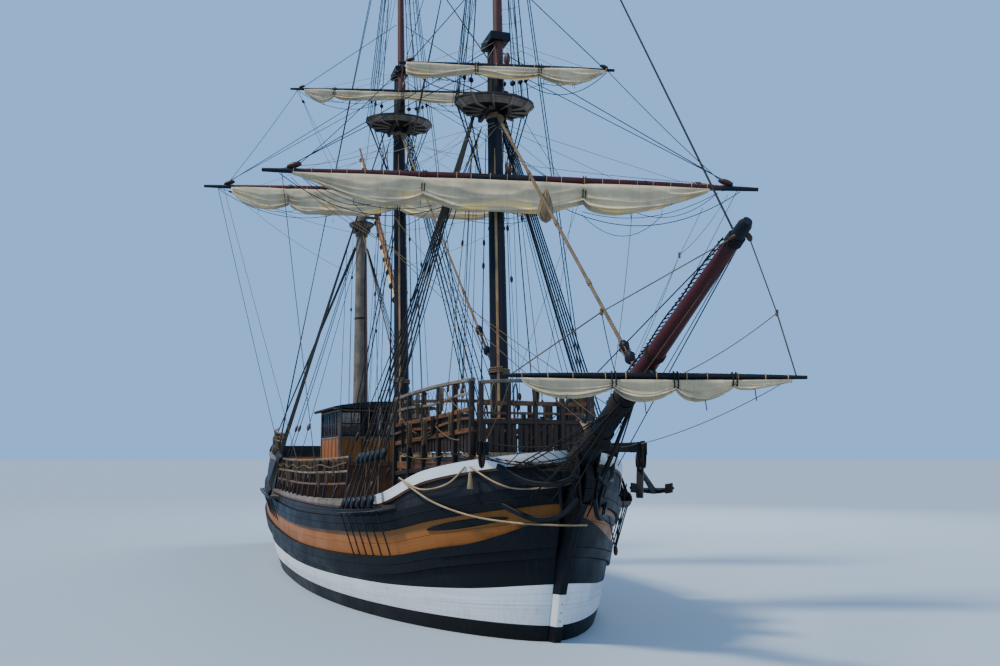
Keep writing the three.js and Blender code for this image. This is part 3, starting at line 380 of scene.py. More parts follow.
class Shape:
    """Points and faces, with each face's finish, tone and its place in the grain, for one mesh."""

    def __init__(self):
        self.points, self.faces, self.finishes, self.tones, self.grain = [], [], [], [], []

    def face(self, corners, finish, tone, grain):
        self.faces.append(corners)
        self.finishes.append(finish)
        self.tones.append(tone)
        self.grain.append(grain)

    def add(self, points, faces, finish=0, grain=None):
        """Adds faces of one finish. grain gives each of the points its place in metres."""
        first = len(self.points)
        self.points.extend(Vector(p) for p in points)
        for face in faces:
            self.face([first + i for i in face], finish, 0.5, [grain[i] for i in face])

    def skin(self, rings, finishes=0, tones=None, caps=True, heights=None):
        """Faces between closed rings of points. Each edge of a ring has a finish."""
        count, first, lengths = len(rings[0]), len(self.points), [0.0]
        for i, ring in enumerate(rings):
            if i:
                lengths.append(lengths[-1] + (Vector(ring[0]) - Vector(rings[i - 1][0])).length)
            self.points.extend(Vector(p) for p in ring)
        if heights is None:
            heights = running([Vector(p) for p in rings[0]] + [Vector(rings[0][0])])
        for r in range(len(rings) - 1):
            for k in range(count):
                n = (k + 1) % count
                a, b = first + r * count, first + (r + 1) * count
                self.face([a + k, b + k, b + n, a + n], each(finishes, k),
                          tones(r, k) if callable(tones) else 0.5 if tones is None else tones,
                          [(lengths[r], heights[k]), (lengths[r + 1], heights[k]),
                           (lengths[r + 1], heights[k + 1]), (lengths[r], heights[k + 1])])
        if caps:
            for ring, start in ((rings[0], first), (rings[-1], first + (len(rings) - 1) * count)):
                self.face([start + k for k in range(count)], each(finishes, 0), 0.5,
                          [(p[1], p[2]) for p in ring])


def running(points):
    """How far along a run each of its points lies."""
    far = [0.0]
    for a, b in zip(points, points[1:]):
        far.append(far[-1] + (b - a).length)
    return far


def link(piece):
    bpy.context.scene.collection.objects.link(piece)
    return piece


def make(name, shape, finishes, body="root", stands_for=(), sharp=32):
    """One finished piece from a shape, riding on a body."""
    mesh = bpy.data.meshes.new(name)
    mesh.from_pydata([tuple(p) for p in shape.points], [], shape.faces)
    for finish in finishes.split():
        mesh.materials.append(finish_of(finish))
    mesh.polygons.foreach_set("material_index", shape.finishes)
    grain = mesh.uv_layers.new(name="grain")
    grain.data.foreach_set("uv", [c for face in shape.grain for corner in face for c in corner])
    tone = mesh.attributes.new("tone", "FLOAT", "FACE")
    tone.data.foreach_set("value", shape.tones)
    mesh.validate()
    mesh.shade_smooth()
    mesh.set_sharp_from_angle(angle=math.radians(sharp))
    piece = link(bpy.data.objects.new(name, mesh))
    outward(piece)
    return settle(piece, body, stands_for)


def outward(piece):
    """Turns the faces of a piece to point outwards."""
    bpy.context.view_layer.objects.active = piece
    piece.select_set(True)
    bpy.ops.object.mode_set(mode="EDIT")
    bpy.ops.mesh.select_all(action="SELECT")
    bpy.ops.mesh.normals_make_consistent(inside=False)
    bpy.ops.object.mode_set(mode="OBJECT")
    piece.select_set(False)


def settle(piece, body, stands_for=()):
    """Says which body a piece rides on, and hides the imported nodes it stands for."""
    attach(piece, body)
    if stands_for:
        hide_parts(*stands_for)
    return piece


def ring_at(centre, way, radius, sides, corner=lift(-1), squeeze=1.0):
    """A ring of points round a line."""
    first = (corner - way * corner.dot(way)).normalized()
    second = way.cross(first)
    return [centre + first * (radius * math.cos(a)) + second * (radius * squeeze * math.sin(a))
            for a in angles(sides)]


def spar(shape, low, high, radii, finishes=0, sides=None, corner=lift(-1)):
    """A round spar, its radius and its finish given at shares of its length."""
    sides = sides or sizes().spar_sides
    span = high - low
    way = span.normalized()
    rings = [ring_at(low.lerp(high, share), way, radius, sides, corner) for share, radius in radii]
    first = len(shape.points)
    shape.points.extend(p for ring in rings for p in ring)
    for r in range(len(rings) - 1):
        u0, u1 = radii[r][0] * span.length, radii[r + 1][0] * span.length
        a, b = first + r * sides, first + (r + 1) * sides
        for k in range(sides):
            n = (k + 1) % sides
            v0, v1 = [2 * math.pi * radii[r][1] * j / sides for j in (k, k + 1)]
            shape.face([a + k, b + k, b + n, a + n], each(finishes, r), 0.5,
                       [(u0, v0), (u1, v0), (u1, v1), (u0, v1)])
    for end, start in ((0, first), (-1, first + (len(rings) - 1) * sides)):
        shape.face([start + k for k in range(sides)], each(finishes, end), 0.5,
                   [(p.x, p.y) for p in rings[end]])


def rod(shape, low, high, radius, finish=0, sides=None, corner=lift(-1)):
    """A plain round rod."""
    spar(shape, low, high, [(0, radius), (1, radius)], finish, sides, corner)


def eased(width, height, c):
    """The section of a squared timber whose edges are eased by c."""
    w, h = width / 2, height / 2
    return ((-w + c, -h), (w - c, -h), (w, -h + c), (w, h - c), (w - c, h), (-w + c, h),
            (-w, h - c), (-w, -h + c))


def beam(shape, low, high, width, height, finish=0, tone=0.5, chamfer=0.012):
    """A squared timber between two points with its edges eased."""
    way = (high - low).normalized()
    side = (lift(1) if abs(way.z) < 0.95 else vec(1, 0, 0)).cross(way).normalized()
    up = way.cross(side)
    shape.skin([[p + side * s + up * u for s, u in eased(width, height, chamfer)]
                for p in (low, high)], finish, tone)


def box(shape, low, high, finish=0, tone=0.5, chamfer=0.012):
    """A squared block between two corners, its long way found from its size."""
    low, high = Vector(low), Vector(high)
    size = high - low
    axis = max(range(3), key=lambda i: size[i])
    start, end = (low + high) / 2, (low + high) / 2
    start[axis], end[axis] = low[axis], high[axis]
    width, height = ((size.y, size.z), (size.x, size.z), (size.y, size.x))[axis]
    beam(shape, start, end, width, height, finish, tone, chamfer)


def post(shape, x, y, low, high, half, finish=0, tone=0.5, chamfer=0.012):
    """An upright squared post."""
    box(shape, (x - half, y - half, low), (x + half, y + half, high), finish, tone, chamfer)


def bent_rail(shape, run, width, height, finish=0, tone=0.5):
    """A squared rail bent along a run of points."""
    rings = []
    for i, p in enumerate(run):
        way = (run[min(i + 1, len(run) - 1)] - run[max(i - 1, 0)]).normalized()
        side = lift(1).cross(way).normalized()
        up = way.cross(side)
        rings.append([p + side * s + up * u
                      for s, u in eased(width, height, min(width, height) * 0.16)])
    shape.skin(rings, finish, tone)


def boarding(shape, start, end, low, high, width, thick, finish, seed, gap=0.006):
    """Upright boards side by side along a level line, each with a tone of its own."""
    start, end = vec(start[0], start[1], 0), vec(end[0], end[1], 0)
    run = end - start
    count = max(1, round(run.length / width))
    way, step = run.normalized(), run.length / count
    out = vec(way.y, -way.x, 0) * (thick / 2)
    half = way * (step / 2 - gap / 2)
    chance = random.Random(seed)
    for i in range(count):
        m = start + way * (step * (i + 0.5))
        section = (m - half - out, m + half - out, m + half + out, m - half + out)
        shape.skin([[p + lift(z) for p in section] for z in (low, high)], finish,
                   chance.uniform(0.15, 0.85))


def curved(points, parts=8):
    """A smooth run of points through a few of them."""
    points = [Vector(p) for p in points]
    last = len(points) - 1
    run = []
    for i in range(last):
        a, b, c, d = points[max(0, i - 1)], points[i], points[i + 1], points[min(last, i + 2)]
        for t in (k / parts for k in range(parts)):
            run.append(0.5 * (2 * b + (c - a) * t + (2 * a - 5 * b + 4 * c - d) * t * t
                              + (3 * b - a - 3 * c + d) * t ** 3))
    return run + [points[last]]


# Node trees for what repeats or follows a path

# the output where a mix node gives its colour
MIX_OUT = 2


def give(node, *values, **named):
    """Sets a node: lower-case names are its settings. Values, or other nodes that feed it, go to
    its inputs in order, or to the input of the same name."""
    inputs = list(enumerate(values))
    for key, value in named.items():
        if key[0].islower():
            setattr(node, key, value)
        else:
            inputs.append((key.replace("_", " "), value))
    for key, value in inputs:
        if isinstance(value, bpy.types.Node):
            value = value.outputs[MIX_OUT if value.bl_idname == "ShaderNodeMix" else 0]
        if isinstance(value, bpy.types.NodeSocket):
            node.id_data.links.new(value, node.inputs[key])
        elif value is not None:
            node.inputs[key].default_value = value
    return node


def add(tree, kind, *values, **named):
    """Adds one node with its settings and links."""
    return give(tree.nodes.new(kind), *values, **named)


def new_tree(name, **sockets):
    """An empty geometry tree with named inputs: how to add to it, its input and its output."""
    tree = bpy.data.node_groups.new(name, "GeometryNodeTree")
    for label, kind in dict(Geometry="Geometry", **sockets).items():
        tree.interface.new_socket(label, in_out="INPUT", socket_type="NodeSocket" + kind)
    tree.interface.new_socket("Geometry", in_out="OUTPUT", socket_type="NodeSocketGeometry")
    node = lambda kind, *values, **named: add(tree, kind, *values, **named)
    return tree, node, node("NodeGroupInput"), node("NodeGroupOutput")


def finish_tree(node, start, end, geometry):
    """Makes what a tree has laid out real, and gives it its finish."""
    real = node("GeometryNodeRealizeInstances", geometry)
    give(end, node("GeometryNodeSetMaterial", real, Material=start.outputs["Finish"]))


def rope_tree():
    """Lays a rope along each spline, with its turn and length kept for the strands' pattern."""
    tree, node, start, end = new_tree("rope", Sides="Int", Finish="Material")
    run = node("GeometryNodeSplineParameter")
    keep = node("GeometryNodeCaptureAttribute", start)
    keep.capture_items.new("FLOAT", "Length")
    give(keep, Length=run.outputs["Length"])
    profile = node("GeometryNodeCaptureAttribute", node(
        "GeometryNodeCurvePrimitiveCircle", Resolution=start.outputs["Sides"], Radius=1.0))
    profile.capture_items.new("FLOAT", "Turn")
    give(profile, Turn=node("ShaderNodeMath", run, 2 * math.pi, operation="MULTIPLY"))
    tube = node("GeometryNodeCurveToMesh", Curve=keep, Profile_Curve=profile,
                Scale=node("GeometryNodeInputRadius"), Fill_Caps=True)
    across, over = (node("ShaderNodeMath", profile.outputs["Turn"], operation=kind)
                    for kind in ("COSINE", "SINE"))
    lay = node("ShaderNodeCombineXYZ", across, over, keep.outputs["Length"])
    store = node("GeometryNodeStoreNamedAttribute", tube, Name="lay", Value=lay,
                 data_type="FLOAT_VECTOR", domain="POINT")
    finish_tree(node, start, end, node("GeometryNodeSetShadeSmooth", store))
    return tree


def scatter_tree():
    """Sets a copy of one small piece on each point, turned and sized by the point's own values."""
    tree, node, start, end = new_tree("fittings", Piece="Object", Finish="Material")
    source = node("GeometryNodeObjectInfo", start.outputs["Piece"])
    turn, size = (node("GeometryNodeInputNamedAttribute", label, data_type="FLOAT_VECTOR")
                  for label in ("turn", "size"))
    finish_tree(node, start, end, node(
        "GeometryNodeInstanceOnPoints", start, Instance=source.outputs["Geometry"],
        Rotation=node("FunctionNodeEulerToRotation", turn), Scale=size))
    return tree


def run_tree(source, name, label, build, **values):
    """Runs a tree on an object, and returns its result as a plain mesh object."""
    modifier = source.modifiers.new("form", "NODES")
    tree = modifier.node_group = bpy.data.node_groups.get(label) or build()
    for item in tree.interface.items_tree:
        if item.in_out == "INPUT" and item.name in values:
            modifier[item.identifier] = values[item.name]
    link(source)
    bpy.context.view_layer.update()
    graph = bpy.context.evaluated_depsgraph_get()
    mesh = bpy.data.meshes.new_from_object(source.evaluated_get(graph))
    mesh.name = name
    piece = link(bpy.data.objects.new(name, mesh))
    source.modifiers.remove(modifier)
    bpy.data.objects.remove(source)
    return piece


def ropes(name, runs, finish, body="root", stands_for=(), sides=None):
    """Ropes along runs of points, each with its radius, as one piece. No body leaves it free."""
    curve = bpy.data.curves.new(name + "_path", "CURVE")
    curve.dimensions = "3D"
    for points, radius in runs:
        spline = curve.splines.new("POLY")
        spline.points.add(len(points) - 1)
        spline.points.foreach_set("co", [c for p in points for c in (*p, 1.0)])
        spline.points.foreach_set("radius", [radius] * len(points))
    piece = run_tree(bpy.data.objects.new(name + "_path", curve), name, "rope", rope_tree,
                     Sides=sides or sizes().rope_sides, Finish=finish_of(finish))
    bpy.data.curves.remove(curve)
    if body is None:
        return piece
    return settle(piece, body, stands_for)


def scatter(name, master, spots, finish, body="root"):
    """Copies of a small shape at spots, each a place, a turn as angles and a size."""
    form = bpy.data.meshes.new(name + "_form")
    form.from_pydata([tuple(p) for p in master.points], [], master.faces)
    form.shade_smooth()
    form.set_sharp_from_angle(angle=math.radians(40))
    holder = link(bpy.data.objects.new(name + "_form", form))
    outward(holder)
    dots = bpy.data.meshes.new(name + "_spots")
    dots.from_pydata([tuple(place) for place, _, _ in spots], [], [])
    for label, column in (("turn", 1), ("size", 2)):
        dots.attributes.new(label, "FLOAT_VECTOR", "POINT").data.foreach_set(
            "vector", [c for spot in spots for c in spot[column]])
    piece = run_tree(bpy.data.objects.new(name + "_spots", dots), name, "fittings", scatter_tree,
                     Piece=holder, Finish=finish_of(finish))
    bpy.data.objects.remove(holder)
    return settle(piece, body)


def facing(way):
    """Euler angles that turn a small piece's own +Z to a direction."""
    return tuple(way.normalized().to_track_quat("Z", "Y").to_euler())


def hang(a, b, sag=0.0, parts=10):
    """Points of a line between two ends, with how far its middle hangs down."""
    if not sag:
        return [Vector(a), Vector(b)]
    return [Vector(a).lerp(Vector(b), t) - lift(sag * 4 * t * (1 - t)) for t in steps(0, 1, parts)]


class Gear:
    """Lines and blocks that are gathered for one group of pieces."""

    def __init__(self):
        self.dark, self.pale, self.blocks = [], [], []

    def tar(self, radius, *points):
        self.dark.append((points, radius))

    def slack(self, radius, *line):
        self.dark.append((hang(*line), radius))

    def hemp(self, radius, *points):
        self.pale.append((points, radius))

    def block(self, place, way, *size):
        """A block at a place: its width and height where they are alike, and its length."""
        self.blocks.append((place, facing(way), size if len(size) == 3 else (size[0], *size)))


# Finishes. Each starts from what the real material is

TO_COLOURS = (None,) * 5


def rgba(colour, gain=1.0):
    return tuple(min(1.0, c * gain) for c in colour) + (1.0,)


def new_finish(name, **constants):
    """A material, how to add a node to it, and its shader with its plain values."""
    finish = bpy.data.materials.new(name)
    finish.use_nodes = True
    tree = finish.node_tree
    tree.nodes.clear()
    node = lambda kind, *values, **named: add(tree, "ShaderNode" + kind, *values, **named)
    shader = node("BsdfPrincipled", **constants)
    node("OutputMaterial", shader)
    return finish, node, shader


def painted_planks(name, colour, worn, wear, roughness):
    """Linseed oil paint brushed on pine strakes: it dulls, streaks and shows the grain below."""
    finish, node, shader = new_finish(name, Specular_IOR_Level=0.16)
    place = node("TexCoord").outputs["Object"]
    # grain runs along the plank: about 25 mm across and a metre long
    stretch = node("Mapping", node("UVMap", uv_map="grain"), Scale=(1, 26, 1))
    grain = node("TexNoise", stretch, Scale=1.6, Detail=6, Roughness=0.6)
    # rain streaks hang down the side, some 60 mm wide
    hang_down = node("Mapping", place, Scale=(16, 16, 1.1))
    streaks = node("TexNoise", hang_down, Scale=1, Detail=5, Roughness=0.65)
    patches = node("TexNoise", place, Scale=1.3, Detail=5, Roughness=0.6)
    rub = node("Math", streaks, patches, operation="MULTIPLY")
    base = node("Mix", node("MapRange", rub, 0.24, 0.52, 0, wear), *TO_COLOURS, rgba(colour),
                rgba(worn), data_type="RGBA")
    tone = node("Attribute", attribute_name="tone").outputs["Fac"]
    both = node("Math", node("MapRange", tone, 0, 1, 0.80, 1.22),
                node("MapRange", grain, 0.3, 0.7, 0.84, 1.14), operation="MULTIPLY")
    give(shader, Base_Color=node("VectorMath", base, Scale=both, operation="SCALE"),
         Roughness=node("MapRange", patches, 0.3, 0.7, roughness - 0.12, roughness + 0.16),
         Normal=node("Bump", Height=grain, Strength=0.35, Distance=0.006))
    return finish


def oiled_timber(name, colour, dark):
    """Oiled oak or pine: long grain with darker late wood, and a dull sheen where it is handled."""
    finish, node, shader = new_finish(name, Specular_IOR_Level=0.35)
    place = node("TexCoord").outputs["Object"]
    # late wood lines about 12 mm apart, drawn twice as coarse so that they show
    stretch = node("Mapping", node("UVMap", uv_map="grain"), Scale=(1 / 0.9, 42, 1))
    grain = node("TexNoise", stretch, Scale=1, Detail=7, Roughness=0.65, Distortion=0.4)
    patches = node("TexNoise", place, Scale=2.4, Detail=4, Roughness=0.6)
    weight = node("Math", grain, patches, operation="ADD")
    base = node("Mix", node("MapRange", weight, 0.72, 1.22, 0, 1), *TO_COLOURS, rgba(dark),
                rgba(colour), data_type="RGBA")
    tone = node("Attribute", attribute_name="tone").outputs["Fac"]
    toned = node("MapRange", tone, 0, 1, 0.6, 1.45)
    give(shader, Base_Color=node("VectorMath", base, Scale=toned, operation="SCALE"),
         Roughness=node("MapRange", grain, 0.3, 0.7, 0.45, 0.70),
         Normal=node("Bump", Height=grain, Strength=0.4, Distance=0.004))
    return finish


def deck_pine(name, colour):
    """Scrubbed pine planks 140 mm wide, laid fore and aft, with black pitch in their seams."""
    finish, node, shader = new_finish(name, Specular_IOR_Level=0.25, Roughness=0.72)
    place = node("TexCoord").outputs["Object"]
    planks = node("TexBrick", place, Color1=rgba(colour), Color2=rgba(colour, 0.78),
                  Mortar=rgba((0.012, 0.011, 0.010)), Scale=1, Mortar_Size=0.006,
                  Brick_Width=5.2, Row_Height=0.14, offset=0.37)
    stretch = node("Mapping", place, Scale=(1.2, 34, 1))
    grain = node("TexNoise", stretch, Scale=1, Detail=6, Roughness=0.6)
    ribbed = node("MapRange", grain, 0.3, 0.7, 0.78, 1.12)
    height = node("Math", grain, planks.outputs["Fac"], operation="SUBTRACT")
    give(shader, Base_Color=node("VectorMath", planks, Scale=ribbed, operation="SCALE"),
         Normal=node("Bump", Height=height, Strength=0.4, Distance=0.005))
    return finish


def flax_canvas(name, colour, glow):
    """Flax sailcloth in 600 mm cloths: a soft sheen, seams, stains, a little subsurface light, and
    a painted warm glow where the sun would come through.
    """
    finish, node, shader = new_finish(
        name, Roughness=0.85, Sheen_Weight=0.25, Specular_IOR_Level=0.15, Subsurface_Weight=0.25,
        Subsurface_Radius=(0.06, 0.04, 0.02))
    uv = node("UVMap", uv_map="grain")
    place = node("TexCoord").outputs["Object"]
    stains = node("TexNoise", place, Scale=1.9, Detail=6, Roughness=0.62)
    # cloths are sewn side by side, with a doubled seam every 600 mm
    cloths = node("Math", node("SeparateXYZ", uv), 0.6, 0, operation="WRAP")
    seam = node("MapRange", cloths, 0, 0.022, 0.80, 1)
    # the weave is drawn at 6 mm, coarser than the real 1 mm, so that it shows
    weave = node("TexWave", uv, Scale=26, Distortion=0.6, Detail=1, wave_type="BANDS",
                 bands_direction="Y").outputs["Fac"]
    base = node("Mix", node("MapRange", stains, 0.32, 0.68, 0, 1), *TO_COLOURS,
                rgba(colour, 0.72), rgba(colour, 1.12), data_type="RGBA")
    # painted light: the face's tone mixes the warm glow colour into the cloth, standing for the sun
    # coming through; pieces with no tones of their own, such as the furled lateen, take half of it
    # evenly
    tone = node("Attribute", attribute_name="tone").outputs["Fac"]
    lit = node("Mix", tone, *TO_COLOURS, base, rgba(glow), data_type="RGBA")
    give(shader, Base_Color=node("VectorMath", lit, Scale=seam, operation="SCALE"),
         Normal=node("Bump", Height=weave, Strength=0.12, Distance=0.002))
    return finish


def window_glass(name, colour):
    """Old crown glass: smooth, with slight waves; its near-black colour is painted shade, the dark
    of the room behind it as seen from outside.
    """
    finish, node, shader = new_finish(name, Roughness=0.08, Specular_IOR_Level=0.6,
                                      Base_Color=rgba(colour))
    waves = node("TexNoise", node("TexCoord").outputs["Object"], Scale=7)
    give(shader, Normal=node("Bump", Height=waves, Strength=0.15, Distance=0.01))
    return finish


def laid_rope(name, colour, roughness=0.8):
    """Three-strand hemp: the strands wind round, one turn in about three diameters."""
    finish, node, shader = new_finish(name, Roughness=roughness, Specular_IOR_Level=0.2)
    lay = node("Attribute", attribute_name="lay").outputs["Vector"]
    across, over, along = node("SeparateXYZ", lay).outputs
    turn = node("Math", over, across, operation="ARCTAN2")
    strands = node("Math", turn, 3, operation="MULTIPLY")
    wave = node("Math", node("Math", along, 90, strands, operation="MULTIPLY_ADD"),
                operation="SINE")
    age = node("TexNoise", node("TexCoord").outputs["Object"], Scale=3, Detail=4)
    # the colour is darker in the groove between the strands: painted shade; the patches from age
    # are weathering
    both = node("Math", node("MapRange", age, 0.3, 0.7, 0.7, 1.25),
                node("MapRange", wave, -1, 1, 0.62, 1.12), operation="MULTIPLY")
    give(shader, Base_Color=node("VectorMath", colour, Scale=both, operation="SCALE"),
         Normal=node("Bump", Height=wave, Strength=0.5, Distance=0.004))
    return finish


def wrought_iron(name, colour, rusty):
    """Hammered iron under old paint: dull black with rust where the paint has gone."""
    finish, node, shader = new_finish(name, Metallic=0.55, Specular_IOR_Level=0.5)
    place = node("TexCoord").outputs["Object"]
    rust = node("TexNoise", place, Scale=9, Detail=6, Roughness=0.7)
    dents = node("TexVoronoi", place, Scale=22)
    give(shader, Roughness=node("MapRange", rust, 0.3, 0.7, 0.42, 0.8),
         Base_Color=node("Mix", node("MapRange", rust, 0.55, 0.75, 0, 0.8), *TO_COLOURS,
                         rgba(colour), rgba(rusty), data_type="RGBA"),
         Normal=node("Bump", Height=dents, Strength=0.3, Distance=0.006))
    return finish


FINISHES = {
    # short name: the material, how it is made, its colour, and what else it takes
    "black": ("black_oil_paint_on_pine", painted_planks, "black", "#26292e", 0.5, 0.5),
    "boot": ("black_varnish_below_waterline", painted_planks, "black", "#2c2f27", 0.6, 0.5),
    "white": ("white_oil_paint_on_pine", painted_planks, "white", "#8d8f8c", 0.55, 0.5),
    "ochre": ("ochre_oil_paint_on_pine", painted_planks, "ochre", "#6d4522", 0.75, 0.48),
    "grey": ("weathered_grey_paint_on_pine", painted_planks, "grey", "#4c4a4b", 0.6, 0.6),
    "blue": ("blue_black_paint_on_pine", painted_planks, "blue", "#3b3733", 0.5, 0.5),
    "spar": ("black_oil_paint_on_spar", painted_planks, "spar", "#2b303a", 0.4, 0.5),
    "maroon": ("red_oxide_paint_on_spar", painted_planks, "maroon", "#2b1214", 0.6, 0.42),
    "topmast": ("varnished_larch", oiled_timber, "topmast", "#3a1512"),
    "timber": ("oiled_oak", oiled_timber, "timber", "#24140b"),
    "dark_oak": ("tarred_oak", oiled_timber, "dark_oak", "#0f0b09"),
    "weathered": ("weathered_oak", oiled_timber, "weathered", "#3a332b"),
    "pine": ("oiled_pine", oiled_timber, "pine", "#5c4127"),
    "elm": ("varnished_elm", oiled_timber, "elm", "#27130b"),
    "deck": ("scrubbed_deck_pine", deck_pine, "deck"),
    "canvas": ("flax_canvas", flax_canvas, "canvas", "glow"),
    "sacking": ("hemp_sacking", flax_canvas, "sacking", "sacking"),
    "hemp": ("laid_hemp", laid_rope, "hemp"),
    "tarred": ("tarred_hemp", laid_rope, "tarred", 0.75),
    "old_rope": ("weathered_hemp", laid_rope, "old_rope"),
    "glass": ("window_glass", window_glass, "glass"),
    "iron": ("wrought_iron", wrought_iron, "iron", "#4a2a1a"),
}


def finish_of(short):
    """A finish by its short name, made when it is first asked for."""
    name, build, *parts = FINISHES[short]
    return bpy.data.materials.get(name) or build(name, *(
        part if isinstance(part, float) else linear(part) if part[0] == "#"
        else tuple(getattr(colours(), part)) for part in parts))


# Masts' and yards' own frames

def move(x, y, z):
    return Matrix.Translation((x, y, z))


def mast_point(name, z, forward=0.0, port=0.0):
    """A point beside a mast's axis, at a height."""
    mast = MASTS[name]
    return vec(mast["x"] - mast["lean"] * z + forward, port, z)


def mast_matrix(name, z=0.0, ahead=0.0):
    """A mast's own frame, moved up to a height and ahead."""
    lean = math.atan(MASTS[name]["lean"])
    return (move(MASTS[name]["x"], 0, 0) @ Matrix.Rotation(-lean, 4, "Y")
            @ move(ahead, 0, z / math.cos(lean)))


def mast_radius(name, z):
    m = MASTS[name]
    if z < m["top"]:
        return lerp(m["foot_r"], m["top_r"], (z - m["foot"]) / (m["top"] - m["foot"]))
    return m["top_r"] * lerp(1, MASTHEAD_SHARE, (z - m["top"]) / (m["cap"] - m["top"]))


def topmast_radius(name, z):
    m = MASTS[name]
    foot = m["top"] + TOP_FLOOR
    share = (z - foot) / (m["head"] - foot)
    if share < 0.25:
        return m["topmast_r"] * lerp(1, 0.97, share / 0.25)
    return lerp(m["topmast_r"] * 0.97, m["head_r"], (share - 0.25) / 0.75)


def yard_frame(name):
    """The yard's own frame: forward of its mast along x, itself along y, tilted as it hangs."""
    if name == "spritsail":
        # it hangs level, though the bowsprit above it is steep
        return (Matrix.Translation(bowsprit_point(SPRITSAIL["x"], -spritsail_drop()))
                @ Matrix.Rotation(-BRACE, 4, "Z") @ Matrix.Rotation(-SPRIT_TILT, 4, "X"))
    yard = YARDS[name]
    mast, upper = yard["mast"], yard["upper"]
    ahead = MASTS[mast]["ahead"] if upper else 0.0
    radius = (topmast_radius if upper else mast_radius)(mast, yard["z"] - yard["mid"])
    return (mast_matrix(mast, yard["z"], ahead) @ Matrix.Rotation(-BRACE, 4, "Z")
            @ move(radius + SADDLE + yard["mid"], 0, 0) @ Matrix.Rotation(-TILT, 4, "X")
            @ move(0, yard["shift"], 0))


def bowsprit_frame(x):
    slope = (BOWSPRIT_TIP.z - BOWSPRIT_HEEL.z) / (BOWSPRIT_TIP.x - BOWSPRIT_HEEL.x)
    return (move(x, 0, BOWSPRIT_HEEL.z + (x - BOWSPRIT_HEEL.x) * slope)
            @ Matrix.Rotation(-math.atan(slope), 4, "Y"))


def bowsprit_radius(x):
    share = (x - BOWSPRIT_HEEL.x) / (BOWSPRIT_TIP.x - BOWSPRIT_HEEL.x)
    (_, a), (bend, b), (_, c) = BOWSPRIT_RADII
    return lerp(a, b, share / bend) if share < bend else lerp(b, c, (share - bend) / (1 - bend))


def bowsprit_point(x, up=0.0, port=0.0):
    return bowsprit_frame(x) @ vec(0, port, up)


def spritsail_drop():
    """How far the spritsail yard's middle lies below the bowsprit's axis."""
    return bowsprit_radius(SPRITSAIL["x"] - 0.05) + SPRITSAIL["saddle"] + SPRITSAIL["mid"]


def yard_radius(yard, y):
    share = min(1.0, abs(y) / yard["half"])
    return lerp(yard["mid"], yard["end"], straight(TAPER, share))


# Hull

def strakes(low, high, count, out, finish):
    """Corners of a run of planks between two lines, each plank with a seam at its lower edge."""
    depth, seam = sizes().seam_depth, sizes().seam
    rows = []
    for i in range(count):
        a, b = between(low, high, i / count), between(low, high, (i + 1) / count)
        rows += [(out - depth, a, finish), (out, lambda x, a=a: a(x) + seam / 2, finish),
                 (out, lambda x, b=b: b(x) - seam / 2, finish)]
    return rows


def belt(shape, sign, start, end, corners, parts=110, seed=0):
    """A closed strip along one side of the ship, through corners: out, the line, and a finish."""
    chance = random.Random(seed)
    butts = {}
    rings = [[on_line(math.sin(a), height_at, out, sign) for out, height_at, _ in corners]
             for a in steps(start, end, parts)]

    def tone(r, k):
        key = (k // 3, int((rings[r][0].x + 40 + 2.7 * (k // 3 % 3)) / 6.5))
        return butts.setdefault(key, chance.uniform(0.25, 0.75))

    middle = rings[len(rings) // 2]
    shape.skin(rings, [finish for _, _, finish in corners], tone,
               heights=running(middle + middle[:1]))


BLACK, BOOT, WHITE, OCHRE, GREY = range(5)
PAINTS = "black boot white ochre grey"


def outer_rows(rail, aft):
    """The side's planks from keel to rail, as corners of the outer face."""
    white, cap = lambda x: smooth(WHITE_TOP, x), lambda x: rail(x) - 0.05
    lines = [level(KEEL_Z), level(BOOT_TOP), white, wale(MAIN, -MAIN_WALE_HALF),
             wale(MAIN, MAIN_WALE_HALF), wale(UPPER, -UPPER_WALE_HALF),
             wale(UPPER, UPPER_WALE_HALF), cap]
    counts = ((12, BOOT), (2, WHITE), (1, BLACK), (1, BLACK), (2, OCHRE), (1, BLACK),
              (4 if aft else 3, GREY))
    rows = []
    for low, high, (count, finish) in zip(lines, lines[1:], counts):
        rows += strakes(low, high, count, 0.0, finish)
    return rows + [(0.0, cap, GREY), (-WALL, cap, GREY), (-WALL, level(KEEL_Z), BOOT)]


def build_hull():
    """Both sides in strakes, the wales, and the transom."""
    for side, sign in SIDES:
        planks = Shape()
        middle = angle_at(BREAK_X, DECK)
        belt(planks, sign, middle, math.pi / 2, outer_rows(waist_rail, False), 120, sign + 5)
        belt(planks, sign, -math.pi / 2, middle, outer_rows(quarter_rail, True), 70, sign + 9)
        nodes = [f"bulwark_{side}", f"quarter_bulwark_{side}"] + (["hull"] if sign < 0 else [])
        make(f"planking_{side}", planks, PAINTS, stands_for=nodes, sharp=28)
        wales = Shape()
        for column, half in ((UPPER, UPPER_WALE_HALF), (MAIN, MAIN_WALE_HALF)):
            low, high = wale(column, -half), wale(column, half)
            belt(wales, sign, angle_at(-12.6, DECK), math.pi / 2,
                 strakes(low, high, 2, WALE_OUT, BLACK) + [
                     (WALE_OUT, high, BLACK), (-0.02, high, BLACK), (-0.02, low, BLACK)],
                 130, sign + 13)
        make(f"wales_{side}", wales, PAINTS,
             stands_for=[f"main_wale_{side}", f"upper_wale_{side}"], sharp=28)
    build_transom()


